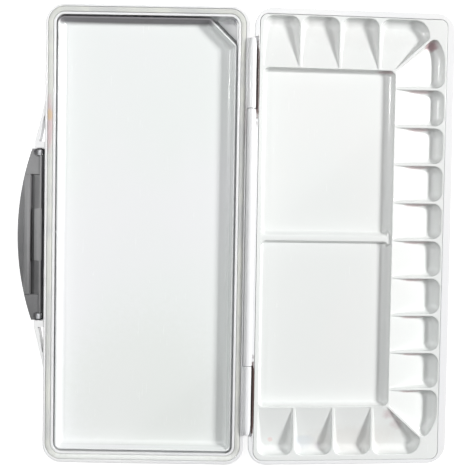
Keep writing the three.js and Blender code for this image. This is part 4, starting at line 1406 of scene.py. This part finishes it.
    def _rib_section(self, x: float, flare: float) -> list[Triple]:
        """The rib's section at a place, widened at its foot by a flare."""
        low, top, steps = -self.dish_depth - self.rib_sink, -self.rib_drop, self.rib_steps
        points = [(self.rib_lower[1] - flare, low - self.rib_foot)]
        for start, end, side in ((*self.rib_lower[::-1], -1), (*self.rib_upper, 1)):
            for i in range(steps + 1):
                share = (1 + side * math.cos(math.pi * i / steps)) / 2
                spread = start + (end - start) * i / steps
                points.append(
                    (spread + side * flare * (1 - share * 0.5), low + (top - low) * share))
        points.append((self.rib_upper[1] + flare, low - self.rib_foot))
        return [(x, y, z) for y, z in points]

    def _rib(self) -> Mesh:
        """The rib between the dishes, flared where it meets their ends."""
        reach, steps = self.rib_flare, self.flare_steps
        near, far = self.mix_near + self.rib_ends[0], self.mix_far + self.rib_ends[1]
        stations = [(near + self.rib_overlaps[0], reach), (near, reach)]
        for i in range(1, steps + 1):
            turn = i / steps
            stations.append((near + reach * turn, reach * (1 - math.sqrt(1 - (1 - turn) ** 2))))
        for i in range(steps + 1):
            turn = i / steps
            stations.append((far - reach * (1 - turn), reach * (1 - math.sqrt(1 - turn ** 2))))
        stations.append((far + self.rib_overlaps[1], reach))
        return loft(self._rib_section(x, flare) for x, flare in stations)

    def build(self, material: bpy.types.Material) -> None:
        """Builds and dresses the well tray."""
        lid, under, margin = self.lid, -self.underside, self.dish_underside_margin
        dish = Outline.rectangle(
            (self.mix_near + margin, -self.mix_end + margin),
            (self.mix_far - margin, self.mix_end - margin), self.dish_underside_radius)
        skirt = under + self.underside_edge
        mesh = stack([
            (dish, -self.dish_underside), (dish, under),
            (lid.pocket(self.gap + self.underside_edge, under), under),
            (lid.pocket(self.gap, skirt), skirt),
            *((lid.pocket(gap, z), z) for gap, z in level_off(3, self.gap, 0, self.edge, -self.edge)),
        ], CORNER_STEPS, "first")
        for well in (*self._side_wells(), *self._end_wells(1), *self._end_wells(-1)):
            absorb(mesh, well.cavity())
        absorb(mesh, self._dish())
        rims = [
            edge for edge in mesh.edges
            if edge.is_boundary and all(abs(vert.co.z) < 1e-4 for vert in edge.verts)]
        bmesh.ops.triangle_fill(mesh, use_beauty=True, use_dissolve=False, edges=rims, normal=(0, 0, 1))
        slivers = [face for face in mesh.faces if face.calc_area() < 1e-4]
        bmesh.ops.delete(mesh, geom=slivers, context="FACES_ONLY")
        loose = [edge for edge in mesh.edges if edge.is_wire]
        bmesh.ops.delete(mesh, geom=loose, context="EDGES")
        tray = block_object("well_insert", outward(mesh))
        shape(tray, Joining.ADD, [self._rib()])
        complete(tray, Body.LID, material, "well_tray", lid.place, 50)


# The latch


@dataclass(frozen=True)
class Latch:
    """The snap latch, drawn about its pivot: X towards the case, so it reaches out along -X."""

    case: Case
    half: float = 56.1
    reach: float = 13.9
    end_reach: float = 4.6
    heel: float = 2.9
    heel_face: float = -0.8
    heel_start: float = 1.1
    face: float = 3.0
    back: float = 2.8
    underedge: float = 1.0
    ledge_end: float = -0.8
    recess_face: float = -1.0
    recess_ledge: float = 2.3
    ridge_start: float = 5.4
    ridge_end: float = 8.6
    ridge_face: float = 4.0
    ridge_slope: float = 1.3
    field_face: float = 2.4
    field_end: float = 1.5
    catch_half: float = 39.0
    tongue_half: float = 16.8
    tongue_start: float = 2.5
    tongue_end: float = 2.0
    tongue_face: float = 3.2
    slot_width: float = 1.1
    slot_face: float = -1.6
    notch_length: float = 4.3
    notch_reach: float = 2.4
    notch_heel: float = 2.1
    notch_end: float = 0.7
    notch_radius: float = 0.5
    bore: float = 1.9
    bore_reach: float = 4.6
    bore_sides: int = 28
    edge: float = 0.28
    edge_angle: float = 28.0
    steps: int = 8
    step_gap: float = 0.5
    samples: int = 6
    hair: float = 0.02
    fold: float = 0.12

    @property
    def place(self) -> Matrix:
        """Where its pivot lies in the frame, in millimetres."""
        x, z = self.case.pivot
        return Matrix.Translation((x, 0, z))

    @property
    def notch_near(self) -> float:
        """Where the upper notch for the pin's collar starts."""
        return self.half - self.notch_length

    def edge_at(self, y: float) -> float:
        """X of the curved outer edge."""
        rise_at_middle = self.reach - self.end_reach
        radius = (self.half ** 2 + rise_at_middle ** 2) / (2 * rise_at_middle)
        return -self.reach + radius - math.sqrt(radius ** 2 - y ** 2)

    def recess_at(self, away: float) -> float:
        """Height of the recess's floor at a distance from the pivot."""
        share = (self.ridge_start - away) / (self.ridge_start - self.ledge_end)
        swell = math.sin(math.pi / 2 * min(max(share, 0.0), 1.0))
        return self.recess_face + (self.recess_ledge - self.recess_face) * swell

    def _section(self, y: float, catch: float, tongue: float) -> list[Triple]:
        """The latch's section at one place along it.

        Args:
            y: The place.
            catch: 1 where the ridge and its recess are, 0 beyond them.
            tongue: 1 where the tongue and its slot are, 0 beside them.

        Returns:
            Points from the heel's lower corner over the top and back.
        """

        def blend(plain: float, special: float, share: float) -> float:
            """A height or place between the plain one and the special one."""
            return plain + (special - plain) * share

        flat, hair, last = self.field_face, self.hair, self.samples - 1
        front = blend(self.ledge_end, self.tongue_start, tongue)
        slot_end = self.ridge_start - self.slot_width
        top = blend(self.face, self.tongue_face, tongue)
        heel = blend(self.heel_start, self.tongue_end, tongue)
        fall = (heel - self.heel_start) / (self.heel - self.heel_start)
        under = self.face + (self.heel_face - self.face) * fall
        points = [
            (self.heel, -self.back), (self.heel, self.heel_face), (heel + hair, under - hair),
            (heel, top), (-front, top)]
        for i in range(self.samples):
            away = blend(max(front, self.tongue_start), slot_end, i / last) if i else front
            points.append((-away, blend(flat, self.recess_at(away), catch)))
        for i in range(self.samples):
            turn = math.pi * i / (2 * last)
            away = blend(slot_end + hair, self.ridge_start - hair, math.sin(turn))
            floor = blend(flat, self.recess_at(away), catch)
            points.append((-away, blend(floor, self.slot_face, tongue)))
        ridge = blend(flat, self.ridge_face, catch)
        points += [
            (-self.ridge_start, ridge), (-self.ridge_end, ridge),
            (-self.ridge_end - self.ridge_slope, blend(flat - 0.3, self.field_end + 0.6, catch))]
        out, count = self.edge_at(y), len(points)
        points = [(max(x, out + self.fold * (count - i)), z) for i, (x, z) in enumerate(points)]
        points += [
            (out, self.field_end), (out, -self.back + self.underedge),
            (max(out + 3.0, -self.end_reach - 0.2), -self.back)]
        return [(x, y, z) for x, z in points]

    def _sections(self) -> list[list[Triple]]:
        """Sections from the lower end to the upper one."""
        half, catch, tongue, gap = self.half, self.catch_half, self.tongue_half, self.step_gap
        runs = (
            (-half, -catch - gap, 0, 0, self.steps), (-catch, -tongue - gap, 1, 0, self.steps),
            (-tongue, tongue, 1, 1, 2 * self.steps), (tongue + gap, catch, 1, 0, self.steps),
            (catch + gap, half, 0, 0, self.steps))
        return [
            self._section(start + (end - start) * i / parts, has_catch, has_tongue)
            for start, end, has_catch, has_tongue, parts in runs for i in range(parts + 1)]

    def build(self, material: bpy.types.Material) -> None:
        """Builds and dresses the latch."""
        latch = block_object("snap_latch", loft(self._sections()))
        near, tools = self.notch_near, []
        for side in SIDES:
            low, high = side_span(side, near, self.half - self.notch_end)
            notch = Outline.rectangle(
                (-self.notch_reach, low), (self.notch_heel, high), self.notch_radius)
            tools.append(upright(notch, -self.back - THROUGH, self.face + 2 * THROUGH))
            tools.append(bar(self.bore, side_span(side, near - self.bore_reach, self.half + THROUGH),
                             (0, 0), self.bore_sides))
        shape(latch, Joining.CUT, tools)
        soft = latch.modifiers.new("soft_edges", "BEVEL")
        soft.width = self.edge
        soft.segments = 2
        soft.limit_method = "ANGLE"
        soft.angle_limit = math.radians(self.edge_angle)
        soft.use_clamp_overlap = True
        settle(latch)
        complete(latch, Body.LATCH, material, "latch_handle", self.place, 60)


@dataclass(frozen=True)
class Pins:
    """The steel hinge pins, and the two moulded latch pins with a round collar in each notch."""

    case: Case
    latch: Latch
    radius: float = 1.6
    edge: float = 0.3
    bearing: float = 4.3
    collar: float = 1.85
    collar_gaps: Point = (0.5, 0.35)
    collar_steps: int = 8
    sides: int = 32

    def _profile(self) -> list[Point]:
        """The upper latch pin's outline, with its collar."""
        radius, edge, notch = self.radius, self.edge, self.latch.notch_near
        near, far = notch - self.bearing, self.case.ear_near + self.case.ear_wall
        low, high = notch + self.collar_gaps[0], self.case.ear_near - self.collar_gaps[1]
        profile = [(0, near), (radius - edge, near), (radius, near + edge), (radius, low)]
        for i in range(1, self.collar_steps):
            turn = math.pi * i / self.collar_steps
            bulge = (self.collar - radius) * math.sin(turn) ** 0.6
            profile.append((radius + bulge, low + (high - low) * (1 - math.cos(turn)) / 2))
        return profile + [(radius, high), (radius, far - edge), (radius - edge, far), (0, far)]

    def build(self, plastic: bpy.types.Material, steel: bpy.types.Material) -> None:
        """Builds and dresses the latch pins, and gives the hinge pins their finish."""
        for side, word in ((1, "upper"), (-1, "lower")):
            mesh = lathe([(radius, side * y) for radius, y in self._profile()], (0, 0), self.sides)
            pin = block_object(f"latch_pivot_pin_{word}", mesh)
            complete(pin, Body.CASE, plastic, f"latch_pin_{word}", self.latch.place)
            for slot in frame["nodes"][f"hinge_pin_{word}"].material_slots:
                slot.material = steel
            LOG.info("hinge_pin_%s: CAD node with its own finish", word)


# The studio


@dataclass(frozen=True)
class Lamp:
    """A soft rectangular lamp."""

    name: str
    place: Triple
    aim: Triple
    size: Point
    watts: float
    colour: Triple = (1.0, 1.0, 1.0)

    def build(self) -> None:
        """Hangs the lamp."""
        light = bpy.data.lights.new(self.name, "AREA")
        light.shape = "RECTANGLE"
        light.size, light.size_y = self.size
        light.energy = self.watts
        light.color = self.colour
        made = bpy.data.objects.new(self.name, light)
        made.location = self.place
        way = Vector(self.aim) - Vector(self.place)
        made.rotation_euler = way.to_track_quat("-Z", "Y").to_euler()
        bpy.context.scene.collection.objects.link(made)


@dataclass(frozen=True)
class Studio:
    """Camera, pale floor, plain soft lamps and a white surround."""

    distance: float = 550.0
    centre: Point = (-9.43, 1.81)
    turns: Triple = (2.05, 0.14, -0.94)
    focal_pixels: float = 842.3
    sensor: float = 36.0
    fill: float = 0.05
    floor_glow: float = 0.8
    floor_size: float = 2000.0
    floor_drop: float = 0.2
    aim: Triple = (0.06, 0.0, 0.0)

    def camera(self, axis: Point) -> None:
        """Places the camera, found by fitting the photograph's view.

        Args:
            axis: X and Z of the hinge's line, about which the fit was made.
        """
        x, y, z = (math.radians(angle) for angle in self.turns)
        turn = Matrix.Rotation(z, 3, "Z") @ Matrix.Rotation(y, 3, "Y") @ Matrix.Rotation(x, 3, "X")
        back = turn.transposed()
        place = Vector((*self.centre, 0)) + back @ Vector((0, 0, self.distance))
        place += Vector((axis[0], 0, axis[1]))
        data = bpy.data.cameras.new("camera")
        data.sensor_width = self.sensor
        data.sensor_fit = "HORIZONTAL"
        data.lens = self.focal_pixels / PHOTO_PIXELS * self.sensor
        data.clip_start, data.clip_end = 0.01, 20.0
        made = bpy.data.objects.new("camera", data)
        made.matrix_world = Matrix.Translation(place * MILLIMETRE) @ back.to_4x4()
        bpy.context.scene.collection.objects.link(made)
        bpy.context.scene.camera = made

    def _seen(self, recipe: Recipe) -> Value:
        """1 for rays from the camera, and for what shows in gloss or through glass."""
        camera, glossy, through = (
            recipe.node("ShaderNodeLightPath", output=name)
            for name in ("Is Camera Ray", "Is Glossy Ray", "Is Transmission Ray"))
        return (camera + glossy + through).limited()

    def surround(self) -> None:
        """Makes the world: white to the camera, a low fill for the object."""
        world = bpy.data.worlds.new("studio_world")
        bpy.context.scene.world = world
        recipe = Recipe(world)
        strength = self._seen(recipe) * (1.0 - self.fill) + self.fill
        light = recipe.node("ShaderNodeBackground", inputs={"Color": (1, 1, 1, 1), "Strength": strength})
        recipe.node("ShaderNodeOutputWorld", inputs={"Surface": light})

    def floor(self) -> None:
        """Lays the floor, which keeps the object's shadow."""
        material = bpy.data.materials.new("studio_floor")
        recipe = Recipe(material)
        cloth = recipe.node("ShaderNodeBsdfDiffuse", inputs={"Color": (0.8, 0.8, 0.8, 1)})
        glow = recipe.node("ShaderNodeEmission", inputs={
            "Color": (1, 1, 1, 1), "Strength": self._seen(recipe) * self.floor_glow})
        both = recipe.node("ShaderNodeAddShader", inputs={0: cloth, 1: glow})
        recipe.node("ShaderNodeOutputMaterial", inputs={"Surface": both})
        mesh = bmesh.new()
        bmesh.ops.create_grid(mesh, x_segments=2, y_segments=2, size=self.floor_size)
        floor = block_object("studio_floor", mesh)
        drop = Matrix.Translation((0, 0, -self.floor_drop))
        floor.data.transform(Matrix.Scale(MILLIMETRE, 4) @ drop)
        floor.data.materials.append(material)

    def lamps(self) -> None:
        """Hangs the lamps."""
        for lamp in (
                Lamp("key", (2.2, 0.48, 1.24), self.aim, (0.45, 0.45), 62.0, (1.0, 0.995, 0.99)),
                Lamp("ceiling", (-0.2, 0.3, 1.5), self.aim, (1.6, 1.4), 7.5, (0.99, 1.0, 1.0)),
                Lamp("left_wall", (-1.5, 0.5, 0.8), self.aim, (1.0, 1.0), 3.5, (0.985, 1.0, 0.995)),
                Lamp("left_box", (-0.7, 0.27, 0.78), (0.17, 0.08, 0.0), (0.12, 0.07), 1.9),
        ):
            lamp.build()

    def build(self, axis: Point) -> None:
        """Sets up the whole studio."""
        self.camera(axis)
        self.surround()
        self.floor()
        self.lamps()
        bpy.context.scene.view_settings.view_transform = "Standard"


@dataclass(frozen=True)
class Palette:
    """The whole object, with its finishes."""

    case: Case = Case()

    def build(self) -> None:
        """Builds every piece in order."""
        case, lid, latch = self.case, Lid(self.case), Latch(self.case)
        wells = WellTray(lid)
        shell_white = GlossyPlastic("case_plastic", stains_and_shade=CASE_MARKS).make()
        tray_white = GlossyPlastic(
            "tray_plastic", (0.87, 0.88, 0.89, 1), TRAY_MARKS, (0.85, 0.88, 0.87, 1)).make()
        well_marks = tuple(mark.carried(lid.place) for mark in WELL_MARKS)
        well_white = GlossyPlastic(
            "well_plastic", (0.85, 0.86, 0.85, 1), well_marks, (0.84, 0.86, 0.85, 1)).make()
        pin_white = GlossyPlastic(
            "pin_plastic", (0.55, 0.56, 0.58, 1), (), (0.5, 0.5, 0.52, 1)).make()
        case.build(shell_white)
        Gasket(case).build(SoftRubber(stains_and_shade=GASKET_MARKS).make())
        MixingTray(case).build(tray_white)
        lid.build(shell_white, wells.ribs())
        wells.build(well_white)
        latch.build(SatinPlastic(stains_and_shade=LATCH_MARKS).make())
        Pins(case, latch).build(pin_white, TurnedSteel().make())


def main() -> None:
    """Builds the studio and the palette."""
    logging.basicConfig(level=logging.INFO, format="%(name)s: %(message)s")
    palette = Palette()
    Studio().build(palette.case.axis)
    palette.build()


if __name__ == "__main__":
    main()
